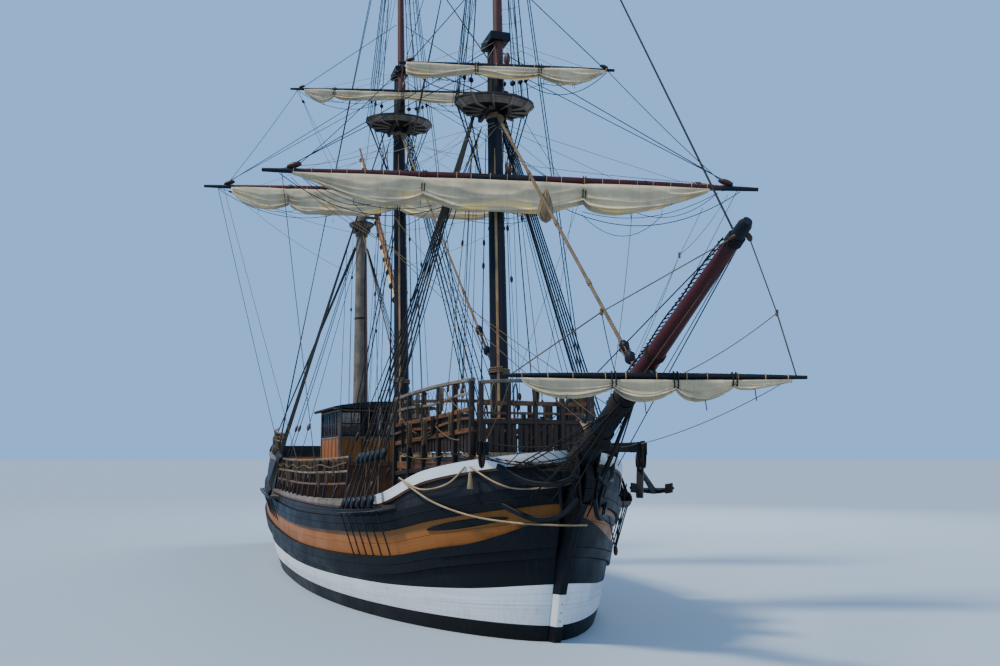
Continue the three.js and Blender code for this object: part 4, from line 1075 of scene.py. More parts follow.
def build_transom():
    """The flat stern between the sides, in level planks."""
    shape = Shape()
    heights = steps(-0.3, quarter_rail(-13.8), 18)
    seam = 0.012
    for low, high in zip(heights, heights[1:]):
        for out, z0, z1 in ((-0.01, low, low + seam), (0.0, low + seam, high - seam),
                            (-0.01, high - seam, high)):
            outer = [(station_x(-1, z) - out, sign * half_width(station_x(-1, z), z) * 0.995, z)
                     for z, sign in ((z0, -1), (z0, 1), (z1, 1), (z1, -1))]
            inner = [(x + WALL, y, z) for x, y, z in outer]
            finish = BOOT if high < BOOT_TOP else OCHRE if 2.5 < low < 3.3 else BLACK
            shape.add(outer + inner, [(0, 1, 2, 3), (7, 6, 5, 4), (0, 4, 5, 1), (1, 5, 6, 2),
                                      (2, 6, 7, 3), (3, 7, 4, 0)], finish,
                      [(y, z) for _, y, z in outer + inner])
    make("transom", shape, PAINTS)


def deck_plate(shape, start, end, z, thick=0.08):
    """A deck between the inner faces of the sides."""
    rings = []
    for a in steps(angle_at(start, z), angle_at(end, z) if end < 12 else math.pi / 2, 60):
        p = side_point(math.sin(a), z, -WALL, 1)
        q = vec(p.x, -p.y, p.z)
        rings.append([p, q, q - lift(thick), p - lift(thick)])
    shape.skin(rings)


def build_decks():
    """Main deck, quarterdeck and the bulkhead at its break."""
    deck = Shape()
    deck_plate(deck, BREAK_X, 12.9, DECK)
    deck_plate(deck, -12.9, BREAK_X, QUARTERDECK)
    make("decks", deck, "deck")
    bulkhead = Shape()
    half = half_width(BREAK_X, 2.3) - WALL
    edges = steps(-half, half, 24)
    for i, (y0, y1) in enumerate(zip(edges, edges[1:])):
        box(bulkhead, (BREAK_X - 0.06, y0 + 0.004, DECK), (BREAK_X + 0.02, y1 - 0.004, QUARTERDECK),
            0, random.Random(i).uniform(0.3, 0.7), 0.006)
    box(bulkhead, (BREAK_X - 0.05, -half, QUARTERDECK - 0.1),
        (BREAK_X + 0.08, half, QUARTERDECK + 0.06), 0, 0.6)
    make("break_bulkhead", bulkhead, "timber")


def build_caps():
    """The white rail at the bow, the cap rails and their mouldings."""
    white_from, waist_from = angle_at(WHITE_RAIL_AFT, DECK), angle_at(BREAK_X, DECK)
    for side, sign in SIDES:
        shape = Shape()
        for start, end, rail, kind in ((white_from, math.pi / 2, waist_rail, 0),
                                       (waist_from, white_from, waist_rail, 2),
                                       (-math.pi / 2, waist_from, quarter_rail, 2)):
            low = lambda x: rail(x) - lerp(0.07, 0.21, min(1, max(0, (x - 3.0) / 6.0)))
            mould = lambda x: low(x) - 0.045
            belt(shape, sign, start, end, [
                (0.055, low, kind), (0.060, rail, kind), (-WALL - 0.06, rail, kind),
                (-WALL - 0.06, low, kind)])
            belt(shape, sign, start, end, [
                (-0.01, mould, 1), (0.035, mould, 1), (0.045, low, 1), (-0.01, low, 1)])
        make(f"rail_{side}", shape, "white timber weathered")


def build_channels():
    """Channels that spread the shrouds, with the iron edge that holds the chain plates."""
    low, high = wale(UPPER, 0.250), wale(UPPER, 0.325)
    for side, sign in SIDES:
        shape = Shape()
        for start, end in CHANNELS.values():
            belt(shape, sign, angle_at(start, CHANNEL_Z), angle_at(end, CHANNEL_Z), [
                (-0.01, low, 0), (0.325, low, 0), (0.34, wale(UPPER, 0.265), 1),
                (0.34, wale(UPPER, 0.31), 1), (0.325, high, 0), (-0.01, high, 0)], 24)
        make(f"channels_{side}", shape, "weathered black",
             stands_for=[f"fore_channel_{side}", f"main_channel_{side}"])


# Masts, tops and bowsprit

def build_masts():
    """Lower masts with iron hoops and the rubbing fish, a dark strip of painted shade down the
    mizzen's shaded side, and the topmasts.
    """
    for name, mast in MASTS.items():
        lower = Shape()
        mizzen = name == "mizzen"
        foot, cap = mast["foot"] + 0.014, mast["cap"]
        radii = [(t, mast_radius(name, lerp(foot, cap, t))) for t in
                 (0, 0.2, 0.4, 0.6, (mast["top"] - foot) / (cap - foot), 1)]
        spar(lower, mast_point(name, foot), mast_point(name, cap), radii, 1 if mizzen else 0,
             corner=vec(1, 0, 0))
        for z in (4.4, 8.8, 13.2):
            if foot + 0.4 < z < mast["top"] - 0.3:
                r = mast_radius(name, z)
                spar(lower, mast_point(name, z), mast_point(name, z + 0.07),
                     [(0, r + 0.002), (0.1, r + 0.012), (0.9, r + 0.012), (1, r + 0.002)], 2)
        make(f"{name}_lower_mast", lower, "spar weathered iron",
             stands_for=[f"{name}mast"])
        if mizzen:
            # on the mizzen the dark strip is no fish: it is painted shade down the side of the mast
            # away from the sun
            build_fish_and_painted_shade(name, math.radians(42), 0.085, "topmast")
        else:
            build_fish_and_painted_shade(name, math.radians(-24), 0.030, "pine")
            build_topmast(name)


def build_fish_and_painted_shade(name, turn, half, finish):
    """The fish down the mast, which takes the rub of the yard and its gear. On the mizzen the same
    strip, in dark larch, is painted shade down the mast's shaded side.
    """
    shape, rings = Shape(), []
    for i, z in enumerate(steps(MASTS[name]["foot"] + 0.4, MASTS[name]["top"] - 1.0, 12)):
        r = mast_radius(name, z)
        width = half * min(1, i / 2 + 0.3, (12 - i) / 2 + 0.3) / r
        rings.append([mast_point(name, z) + vec(math.cos(turn + share * width),
                                                math.sin(turn + share * width), 0) * (r + out)
                      for share, out in ((-1, -0.02), (-1, 0.012), (-0.5, 0.03), (0.5, 0.03),
                                         (1, 0.012), (1, -0.02))])
    shape.skin(rings)
    make(f"{name}_mast_fish", shape, finish)


def build_topmast(name):
    """A topmast, black at its heel and its head."""
    mast = MASTS[name]
    shape = Shape()
    foot, head = mast["top"] + 0.081, mast["head"]
    radii = [(t, topmast_radius(name, lerp(foot, head, t)))
             for t in (0, 0.08, 0.25, 0.5, 0.75, 0.97)]
    spar(shape, mast_point(name, foot, mast["ahead"]), mast_point(name, head, mast["ahead"]),
         radii + [(1, mast["head_r"] * 0.6)], [1, 0, 0, 0, 0, 1])
    make(f"{name}_upper_mast", shape, "topmast spar",
         stands_for=[f"{name}_topmast"])


def build_tops():
    """Round tops: a planked dish on trestletrees, with ribs under its wall and a thick rim."""
    for name, mast in MASTS.items():
        place = mast_matrix(name, mast["top"])
        hole, rim, long = mast_radius(name, mast["top"]) + 0.01, mast["rim"], mast["long"]
        foot, lip = rim - 0.20, TOP_RISE - 0.05
        profile = ((hole, 0.0, 0), (foot, 0.0, 1), (foot + 0.09, 0.08, 1),
                   (rim - 0.03, TOP_RISE - 0.06, 0), (rim, lip, 0), (rim, TOP_RISE, 0),
                   (rim - 0.07, TOP_RISE, 0), (rim - 0.07, lip, 1), (foot + 0.03, 0.12, 1),
                   (foot - 0.03, TOP_FLOOR, 0), (hole, TOP_FLOOR, 0))
        shape = Shape()
        chance = random.Random(3)
        tones = [chance.uniform(0.2, 0.8) for _ in range(48)]
        oval = lambda r: r * (long if r > hole + 0.001 else 1)
        rings = [[place @ vec(oval(r) * math.cos(a), r * math.sin(a), z) for r, z, _ in profile]
                 for a in angles(48)]
        shape.skin(rings + rings[:1], [finish for _, _, finish in profile],
                   lambda r, k: tones[r // 2], caps=False)
        for a in angles(8 if name == "mizzen" else 12, 0.5):
            way = vec(math.cos(a) * long, math.sin(a), 0)
            for r0, z0, r1, z1, wide, high, tone in (
                    (foot + 0.02, -0.012, rim - 0.012, lip, 0.05, 0.05, 0.8),
                    (hole + 0.13, -0.022, foot + 0.03, -0.022, 0.055, 0.045, 0.6)):
                beam(shape, place @ (way * r0 + lift(z0)), place @ (way * r1 + lift(z1)), wide,
                     high, 1, tone)
        spread = 0.8 * foot * long
        for y in (-hole - 0.05, hole + 0.05):
            beam(shape, place @ vec(-spread, y, -0.10), place @ vec(spread, y, -0.10), 0.10, 0.11,
                 0, 0.4)
        make(f"{name}_top_dish", shape, "dark_oak weathered",
             stands_for=[f"{name}_top"], sharp=30)


def build_bowsprit():
    """Bowsprit: black with a red-brown outer part between collars, and a black end cap."""
    shape = Shape()
    zones = ((0.0, 0), (0.35, 0), (0.60, 0), (0.605, 0), (0.615, 2), (0.62, 1), (0.8, 1),
             (0.945, 1), (0.95, 2), (0.965, 0), (0.992, 0), (1.0, 0))
    radii = [(t, bowsprit_radius(lerp(BOWSPRIT_HEEL.x, BOWSPRIT_TIP.x, t))
              - (0.03 if t == 1.0 else 0)) for t, _ in zones]
    spar(shape, BOWSPRIT_HEEL, BOWSPRIT_TIP, radii, [finish for _, finish in zones[:-1]])
    make("bowsprit_spar", shape, "spar maroon iron", stands_for=["bowsprit"])


# Yards and sails

def yard_spar(shape, yard, turn, tip, centre):
    """A yard's spar: a painted length, with shares of it black at the arms and at its middle."""
    shares = sorted({*(k / 8 for k in range(9)), tip / 2, 1 - tip / 2, 0.5 - centre / 2,
                     0.5 + centre / 2, tip / 2 + 0.004, 1 - tip / 2 - 0.004})
    radii = [(s, yard_radius(yard, (2 * s - 1) * yard["half"])) for s in shares]
    zones = [1 if abs(a + b - 1) > 1 - tip or abs(a + b - 1) < centre else 0
             for a, b in zip(shares, shares[1:])]
    half = vec(0, yard["half"], 0)
    spar(shape, turn @ -half, turn @ half, radii, zones)


def build_yards():
    """The yards, with the blocks of wood that hold them off their masts."""
    for name, yard in YARDS.items():
        turn, course = yard_frame(name), not yard["upper"]
        shape = Shape()
        yard_spar(shape, yard, turn, *((0.14, 0.16) if course else (0.06, 1.0)))
        gap = SADDLE + yard["mid"]
        for y in (-0.09, 0.09):
            beam(shape, turn @ vec(-gap + 0.004, y, 0), turn @ vec(-0.03, y, 0), 0.07,
                 yard["mid"] * 1.2, 1)
        for share in (-0.86, -0.55, 0.55, 0.86) if course else ():
            y = share * yard["half"]
            rod(shape, turn @ vec(0, y - 0.03, 0), turn @ vec(0, y + 0.03, 0),
                yard_radius(yard, y) + 0.006, 2)
        make(f"{name}_spar", shape, "maroon spar iron", body=name,
             stands_for=[f"{name}_yard"])
    shape = Shape()
    yard_spar(shape, SPRITSAIL, yard_frame("spritsail"), 0.06, 1.0)
    x, drop = SPRITSAIL["x"], spritsail_drop()
    rod(shape, bowsprit_point(x, -drop), bowsprit_point(x, 0.06 + SPRITSAIL["mid"] - drop), 0.055,
        1)
    make("spritsail_spar", shape, "maroon spar", body="spritsail",
         stands_for=["spritsail_yard"])
    shape = Shape()
    spar(shape, LATEEN_LOW, LATEEN_PEAK,
         [(0, 0.06), (0.18, 0.085), (0.35, 0.105), (0.6, 0.1), (0.8, 0.07), (1, 0.04)])
    middle = LATEEN_LOW.lerp(LATEEN_PEAK, LATEEN_SLUNG)
    box(shape, (middle.x - 0.04, mast_radius("mizzen", middle.z) + 0.001, middle.z),
        (middle.x + 0.07, LATEEN_LOW.y, middle.z + 0.09))
    make("lateen_spar", shape, "timber", body="lateen", stands_for=["lateen_yard"])


def bight_depth(yard, y):
    """How far the cloth hangs below the yard's underside, and how near a gather is, 0 to 1."""
    for start, end, at_start, at_end, deepest, lowest in yard["bights"]:
        if start <= y <= end:
            t = (y - start) / (end - start)
            hung = math.sin(math.pi * t ** (math.log(0.5) / math.log(lowest))) ** 0.8
            sunk = (deepest - max(at_start, at_end) * 0.6) * hung * 0.9
            near = min(y - start, end - y) / (0.5 * (end - start))
            return lerp(at_start, at_end, t) + sunk, near
    return 0.05, 0.0


def crease(y, share, seed, near):
    """How far the cloth stands out: creases that run from gather to gather, closer near each."""
    out = 0.0
    for k, (often, size) in enumerate(((3.5, 0.075), (7.0, 0.042), (13.0, 0.018))):
        drift = 0.9 * noise.noise(vec(y * 0.6, 7.1 * k, seed))
        ridge = 1 - abs(math.sin(math.pi * (often * share + drift)))
        out += size * (ridge * ridge - 0.35)
    pleats = 0.018 * (1 - near) ** 4 * math.sin(2 * math.pi * y / 0.13)
    return out * (0.65 + 0.7 * (1 - near)) + pleats


def build_sail(name, yard):
    """A sail hauled up in bights below its yard, as one thin sheet round a hollow roll."""
    across, around = 170, 64
    turn = yard_frame(name)
    start, end = yard["head"]
    seed = len(name) * 1.7
    rows = []
    for y in steps(start, end, across):
        depth, near = bight_depth(yard, y)
        depth = min(depth, yard["drop"])
        thick = yard["thick"] * (0.42 + 0.55 * depth / yard["drop"])
        row = []
        for share in steps(0, 1, around):
            c, s = math.cos(math.pi * share), math.sin(math.pi * share)
            push = crease(y, share, seed, near) * s ** 0.4 * min(1, depth / 0.30)
            x = 0.30 * thick + 0.43 * thick * math.copysign(abs(c) ** 0.75, c)
            z = -depth * abs(s) ** 0.62 - push * s * 0.6
            row.append(turn @ vec(x + push * (c + 0.35), y, z - yard_radius(yard, y) - 0.004))
        rows.append(row)
    girth = running(rows[across // 3])
    shape = Shape()
    count = around + 1
    cells = [(r, k) for r in range(across) for k in range(around)]
    shape.add([p for row in rows for p in row],
              [(r * count + k, r * count + k + 1, (r + 1) * count + k + 1, (r + 1) * count + k)
               for r, k in cells],
              grain=[(y, far) for y in steps(start, end, across) for far in girth])
    # painted light: tones that mix in the glow colour, in patches low on the cloth where the sun
    # would come through
    shape.tones = []
    for r, k in cells:
        patch = noise.noise(vec(lerp(start, end, r / across) * 1.5, 7.0 * k / around, seed))
        shape.tones.append(min(0.95, max(0.0, 6.0 * (patch - 0.22)))
                           * math.sin(math.pi * (k + 0.5) / around) ** 2)
    piece = make(f"{name}_cloth", shape, "canvas", body=name,
                 stands_for=[f"{name}_sail"], sharp=80)
    thicken(piece, 0.004)


def thicken(piece, thickness):
    """Gives a sheet its thickness, as a plain mesh."""
    modifier = piece.modifiers.new("thickness", "SOLIDIFY")
    modifier.thickness, modifier.offset = thickness, 0
    graph = bpy.context.evaluated_depsgraph_get()
    mesh = bpy.data.meshes.new_from_object(piece.evaluated_get(graph))
    piece.modifiers.remove(modifier)
    piece.data = mesh


def build_sails():
    """Every sail in its gathers."""
    for name, yard in [*YARDS.items(), ("spritsail", SPRITSAIL)]:
        build_sail(name, yard)
    build_lateen()


def build_lateen():
    """The lateen sail furled below its yard, bound with gaskets."""
    shape, bands, rings = Shape(), Shape(), []
    way = (LATEEN_PEAK - LATEEN_LOW).normalized()
    beside = vec(0, 1, 0)
    under = beside.cross(way)
    if under.z > 0:
        under.negate()
    for share in steps(0.06, 0.95, 90):
        bound = 0.72 + 0.28 * abs(math.sin(math.pi * share * 14))
        size = bound * min(1, 0.25 + 9 * min(share - 0.06, 0.95 - share)) * lerp(1.0, 0.62, share)
        centre = LATEEN_LOW.lerp(LATEEN_PEAK, share) + under * (0.106 + 0.10 * size)
        ring = []
        for a in angles(20):
            c, s = math.cos(a), math.sin(a)
            wrinkled = size * (1 + 0.12 * noise.noise(vec(share * 30, c * 1.5, s * 1.5)))
            ring.append(centre + under * (0.10 * wrinkled * c) + beside * (0.115 * wrinkled * s))
        rings.append(ring)
    shape.skin(rings)
    piece = make("lateen_roll", shape, "canvas", body="lateen",
                 stands_for=["lateen_sail"], sharp=80)
    for share in (i / 14 for i in range(1, 14)):
        spot = LATEEN_LOW.lerp(LATEEN_PEAK, share) + under * 0.10
        rod(bands, spot - way * 0.02, spot + way * 0.02, 0.185 - 0.07 * share, sides=16)
    make("lateen_gaskets", bands, "old_rope", body="lateen")


# Standing rigging

def channel_spot(x, sign, out=0.31):
    """A place over a channel's outer edge, as high as the lower deadeyes."""
    return on_line(math.sin(angle_at(x, CHANNEL_Z)), wale(UPPER, 0.465), out, sign)


def shroud_lines(name, sign):
    """Each shroud as its deadeye's place and its eye at the masthead."""
    count, first, last, eye = SHROUDS[name]
    lines = []
    for i in range(count):
        share = i / (count - 1)
        foot = channel_spot(lerp(last, first, share), sign, lerp(0.31, 0.16, share))
        off = mast_radius(name, eye) + lerp(0.14, 0.02, share)
        lines.append((foot, mast_point(name, eye + 0.05 * i, lerp(-0.38, -0.70, share),
                                       sign * off)))
    return lines


def rungs(lines, low, high):
    """Rungs across a set of shrouds, at even heights."""
    step = sizes().ratline_step
    return [[a.lerp(b, (low + n * step - a.z) / (b.z - a.z)) for a, b in lines]
            for n in range(int((high - low) / step))]


def build_shrouds():
    """Lower shrouds with their ratlines, deadeyes, lanyards and chain plates."""
    s = sizes()
    shrouds, ratlines, lanyards, chains, eyes = [], [], [], [], []
    for name in SHROUDS:
        for _, sign in SIDES:
            lines = shroud_lines(name, sign)
            for foot, top in lines:
                way = (top - foot).normalized()
                upper = foot + way * 1.05
                shrouds.append(([upper, top], s.shroud))
                side = way.cross(vec(0, sign, 0)).normalized()
                for shift in (-0.07, -0.02, 0.03, 0.08):
                    lanyards.append(([foot + side * shift, upper - side * shift * 0.6], 0.014))
                eyes += [(spot, facing(way.cross(side)), (1.15,) * 3) for spot in (foot, upper)]
                edge = channel_spot(foot.x, sign)
                plate = edge - vec(0.02 * (top.x - edge.x), sign * 0.36, 1.15)
                chains.append(([foot, edge - lift(0.10), plate], 0.016))
            for run in rungs(lines, max(foot.z for foot, _ in lines) + 1.3,
                             MASTS[name]["top"] - 2.6):
                ratlines.append(([run[0] + (run[0] - run[1]) * 0.06, *run,
                                  run[-1] + (run[-1] - run[-2]) * 0.06], s.ratline))
    for _, sign in SIDES:
        for i, x in enumerate(steps(-10.9, -9.7, 3)):
            foot = rail_spot(x, quarter_rail(x) + 0.06, sign, 0.03)
            top = mast_point("mizzen", 11.75 - 0.05 * i, -0.15 + 0.1 * i,
                             sign * (mast_radius("mizzen", 11.75) + 0.02))
            shrouds.append(([foot.lerp(top, 0.07), top], 0.015))
            lanyards.append(([foot, foot.lerp(top, 0.07)], 0.014))
            eyes += [(foot.lerp(top, share), facing((top - foot).cross(vec(1, 0, 0))), (0.7,) * 3)
                     for share in (0.004, 0.07)]
    ropes("lower_shrouds", shrouds, "tarred")
    ropes("ratlines", ratlines, "tarred", sides=4)
    ropes("lanyards", lanyards, "tarred", sides=5)
    ropes("chain_plates", chains, "iron", sides=5)
    scatter("deadeyes", deadeye(), eyes, "spar")


def served(matrix, radius, rope=0.024, turns=3):
    """Turns of rope round a spar that stands along the matrix's z."""
    r = radius + rope * 0.8
    return [matrix @ vec(r * math.cos(2 * math.pi * t), r * math.sin(2 * math.pi * t),
                         1.9 * rope * (t - turns / 2)) for t in steps(0, turns, turns * 20)], rope


def build_stays():
    """The stays: laid rope with turns round both spars, seizings, and hearts with lanyards."""
    for name, rope, spots in (
            ("main_stay", 0.036, (("main", 14.25, 0.037), ("fore", 5.45, -0.042))),
            ("mizzen_stay", 0.020, (("mizzen", 12.2, 0.028), ("main", 5.9, -0.029))),
            ("fore_stay", 0.036, (("fore", 11.56, 0.034), ("bowsprit", 15.55, 0.034)))):
        ends, turns = [], []
        for mast, at, off in spots:
            if mast == "bowsprit":
                r = bowsprit_radius(at)
                ends.append(bowsprit_point(at, r + off))
                turns.append(served(bowsprit_frame(at), r))
            else:
                r = mast_radius(mast, at)
                ends.append(mast_point(mast, at, math.copysign(r, off) + off))
                turns.append(served(mast_matrix(mast, at), r))
        build_stay(name, ends, rope, turns)
    for name, z, low in (("fore", 21.5, bowsprit_point(18.56, 0.07)),
                         ("main", 21.6, mast_point("fore", 13.02, -0.17))):
        high = mast_point(name, z, MASTS[name]["ahead"] + 0.1)
        ropes(f"{name}_topmast_stay_rope", [([high, low], 0.016)], "tarred",
              stands_for=[f"{name}_topmast_stay"])


def build_stay(name, ends, rope, turns):
    """One stay with its seizings and, on the two big ones, its hearts."""
    top, low = ends
    way = (low - top).normalized()
    runs = [([top, low], rope)] + turns
    for share in (0.02, 0.035, 0.30, 0.52, 0.74):
        spot = top.lerp(low, share)
        runs.append(([spot - way * 0.07, spot + way * 0.07], rope * 1.35))
    if name != "mizzen_stay":
        spots = [top.lerp(low, share)
                 for share in ((0.87, 0.935) if name == "main_stay" else (0.942, 0.972))]
        hearts = Shape()
        for spot in spots:
            hearts.skin([ring_at(spot + way * (0.26 * (t - 0.5)), way, r, 16, squeeze=0.7)
                         for t, r in ((0, 0.05), (0.2, 0.10), (0.5, 0.125), (0.8, 0.095),
                                      (1, 0.04))])
        make(f"{name}_hearts", hearts, "spar")
        across = way.cross(vec(0, 1, 0)).normalized()
        for a in angles(6):
            off = vec(0, 0.09 * math.cos(a), 0) + across * (0.07 * math.sin(a))
            runs.append(([spots[0] + off, spots[1] + off * 0.9], 0.013))
    ropes(f"{name}_rope", runs, "old_rope", stands_for=[name])


def deadeye():
    """A round deadeye with its grooved edge, its axis along z."""
    shape = Shape()
    spar(shape, lift(-0.05), lift(0.05),
         [(0, 0.07), (0.12, 0.105), (0.35, 0.12), (0.5, 0.112), (0.65, 0.12), (0.88, 0.105),
          (1, 0.07)], sides=16, corner=vec(1, 0, 0))
    return shape


def pulley():
    """The egg-shaped shell of a wooden block, its length along z."""
    shape = Shape()
    rings = []
    for t in (0.0, 0.12, 0.3, 0.5, 0.7, 0.88, 1.0):
        size = math.sin(math.pi * (0.12 + 0.76 * t)) ** 0.7
        rings.append([vec(0.5 * size * math.cos(a), 0.33 * size * math.sin(a), t - 0.5)
                      for a in angles(12)])
    shape.skin(rings)
    return shape


def build_top_rigging():
    """Topmast shrouds, futtock shrouds and backstays."""
    runs, thin, eyes = [], [], []
    for name in ("fore", "main"):
        mast = MASTS[name]
        top, head, ahead = mast["top"], mast["head"], mast["ahead"]
        for _, sign in SIDES:
            lines = []
            for degrees in steps(102, 152, 3):
                c, s = math.cos(math.radians(degrees)), math.sin(math.radians(degrees))
                rim = mast_matrix(name, top) @ vec(mast["rim"] * mast["long"] * c * 0.96,
                                                   sign * mast["rim"] * s * 0.96, TOP_RISE + 0.08)
                peak = mast_point(name, head - 0.7, ahead, sign * 0.07)
                upper = rim.lerp(peak, 0.075)
                root = mast_point(name, top - 2.0, 0.18 * c - 0.05,
                                  sign * (mast_radius(name, top - 2.0) + 0.03))
                lines.append((rim, peak))
                runs += [([upper, peak], 0.014), ([rim - lift(0.1), root], 0.016)]
                thin += [([rim, upper], 0.009),
                         ([rim + vec(0.04, 0, 0), upper + vec(0.03, 0, 0)], 0.009)]
                eyes += [(spot, facing(vec(c, sign * s, 0)), (0.6,) * 3) for spot in (rim, upper)]
            thin += [(run, sizes().ratline * 0.8) for run in rungs(lines, top + 1.3, head - 1.3)]
            for shift in (0.0, 0.35):
                x = SHROUDS[name][1] - 0.55 - shift
                rail = waist_rail if x > BREAK_X else quarter_rail
                foot = rail_spot(x, rail(x) + 0.03, sign, -0.02)
                runs.append(([foot, mast_point(name, head - 0.6 - shift, ahead, sign * 0.07)],
                             0.013))
    ropes("topmast_shrouds", runs, "tarred")
    ropes("topmast_ratlines", thin, "tarred", sides=4)
    scatter("top_deadeyes", deadeye(), eyes, "spar")


def coil(pin, way, drop, turns, radius):
    """A hank of rope hung on a pin, as a run of points and its radius."""
    side = lift(1).cross(way).normalized()
    run = []
    for i in range(turns * 12 + 1):
        a = 2 * math.pi * i / 12
        droop = drop / 2 * (1 + 0.05 * math.sin(1.7 * i))
        run.append(pin + side * (0.2 * droop * math.sin(a)) + lift(droop * (math.cos(a) - 1))
                   + way * (2.1 * radius * i / 12))
    return run, radius


# Bow

def stem_ring(z):
    """The stem's outline at a height: wide where the planks end, slim at its front."""
    planked = z < STEM_BACK[0][0]
    back = smooth(LEVELS, z, STEM_X) - 0.055 if planked else straight(STEM_BACK, z)
    front = straight(STEM_FRONT, z)
    wide = STEM_WIDE if planked else STEM_SLIM
    port = ((back, wide), (min(back + 0.06, front - 0.05), wide),
            (min(back + 0.26, front - 0.03), STEM_SLIM), (front - 0.014, STEM_SLIM),
            (front, STEM_SLIM - 0.014))
    return [vec(x, y, z) for x, y in port] + [vec(x, -y, z) for x, y in reversed(port)]


def build_stem():
    """Stem with the knee of the head, keel and sternpost, painted as the sides are."""
    shape = Shape()
    zones = (((-3.62, -3.45, -3.25, -2.9, -2.6, -2.1, -1.6, -0.8, 0.0, 0.16, BOOT_TOP), 0),
             ((BOOT_TOP, 0.5, 0.7, 0.85, 0.93), 1),
             ((0.93, 1.2, 1.45, 1.7, 2.0, 2.2, 2.43, 2.6, 2.8, 2.95), 2),
             ((2.96, 3.0, 3.12, 3.25, 3.38), 2))
    for heights, finish in zones:
        shape.skin([stem_ring(z) for z in heights], finish, 0.45)
    box(shape, (-11.9, -0.13, -3.61), (9.4, 0.13, -3.302))
    sternpost = ((-11.88, -3.6), (-12.24, -3.6), (-12.72, 0.6), (-12.53, 0.6), (-12.42, 0.0),
                 (-12.29, -0.7), (-12.14, -1.6), (-11.99, -2.5))
    shape.skin([[vec(x, y, z) for x, z in sternpost] for y in (-0.13, 0.13)])
    # bolts through the stem where the white paint is
    for z in (0.42, 0.58, 0.74):
        x = straight(STEM_FRONT, z)
        spar(shape, vec(x - 0.02, 0, z), vec(x + 0.006, 0, z), [(0, 0.016), (1, 0.012)], 3,
             sides=10)
    make("stem_and_keel", shape, "boot white black iron",
         stands_for=["backbone"])
    lashing = []
    for n in range(9):
        x = 13.2 + 0.045 * n
        r, low = bowsprit_radius(x) + 0.02, vec(x - 0.17, 0, 2.66)
        edge = vec(0, STEM_SLIM + 0.02, 0)
        over = [bowsprit_frame(x) @ vec(0, r * math.cos(a), r * math.sin(a))
                for a in map(math.radians, (185, 155, 125, 90, 55, 25, -5))]
        lashing.append(([low - edge, *over, low + edge, low - lift(0.02), low - edge], 0.024))
    ropes("gammoning", lashing, "tarred")


def build_head():
    """Head rails with their timbers, the cheeks below, and the catheads."""
    cheek_low, middle = wale(MAIN), between(wale(MAIN, MAIN_WALE_HALF),
                                            wale(UPPER, -UPPER_WALE_HALF), 0.70)

    def cheek_high(x):
        rise = max(0.0, (x - 10.9) / 1.7)
        return smooth(WALES, x, MAIN) + MAIN_WALE_HALF + 0.01 + 0.38 * rise ** 1.7

    def doubling(share):
        """A line of the doubling piece, at a share of its half height from its middle."""
        return lambda x: middle(x) + share * 0.08 * math.sin(
            math.pi * min(1, max(0.02, (x - 10.1) / 1.8))) ** 0.6

    for side, sign in SIDES:
        shape = Shape()
        runs = [curved([(x, sign * y, z) for x, y, z in path], 6) for path in HEAD_RAILS]
        for run, size in zip(runs, (0.09, 0.08)):
            bent_rail(shape, run, size, size * 1.15)
        for share in (0.7, 0.88):
            high, low = (run[round(share * (len(run) - 1))] for run in runs)
            bent_rail(shape, [low, low.lerp(high, 0.5) - vec(0.04, 0, 0), high], 0.06, 0.07)
        # the cheek sweeps up from the wale to the stem, with a doubling piece above it
        belt(shape, sign, angle_at(10.4, 2.0), math.pi / 2, [
            (0.0, cheek_low, 0), (0.10, cheek_low, 0), (0.10, cheek_high, 0),
            (0.0, cheek_high, 0)], 40)
        belt(shape, sign, angle_at(10.15, 2.2), angle_at(11.85, 2.2), [
            (out, doubling(share), 0)
            for out, share in ((0.0, -1), (0.03, -0.8), (0.03, 0.8), (0.0, 1))], 30)
        make(f"head_timbers_{side}", shape, "black",
             stands_for=[f"head_rail_{side}"])
        cat = Shape()
        (x0, y0), (x1, y1) = CATHEAD_IN, CATHEAD_OUT
        z = frame_top(f"cathead_{side}") - 0.1
        beam(cat, vec(x0, sign * y0, z), vec(x1, sign * y1, z), 0.19, 0.19, chamfer=0.02)
        beam(cat, vec(x1 - 0.02, sign * y1, z - 0.03),
             vec(x1 + 0.012, sign * (y1 + 0.004), z - 0.03), 0.23, 0.25, 0, 0.6)
        for t in (0.80, 0.85, 0.90):
            spot = vec(lerp(x0, x1, t), sign * lerp(y0, y1, t), z)
            rod(cat, spot - lift(0.105), spot + lift(0.105), 0.02, 1, 8, vec(1, 0, 0))
        make(f"cathead_beam_{side}", cat, "black iron",
             stands_for=[f"cathead_{side}"])


def frame_top(name):
    """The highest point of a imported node, in metres."""
    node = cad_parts[name]
    return max((node.matrix_world @ Vector(corner)).z for corner in node.bound_box)


# Forecastle, cabin and rails

def frame_spot(share, z, sign, out=0.0):
    """A place on the forecastle's side frame."""
    (x0, y0), (x1, y1) = FRAME_AFT, FRAME_FORE
    way = vec(x1 - x0, y1 - y0, 0).normalized()
    return vec(lerp(x0, x1, share) - way.y * out, sign * (lerp(y0, y1, share) + way.x * out), z)


def side_top(share, drop=0.0):
    return lerp(*FRAME_TOP, share) - drop


def side_spot(share, drop, sign, out=0.0):
    """A place on the side frame, as far as drop below its top."""
    return frame_spot(share, side_top(share, drop), sign, out)


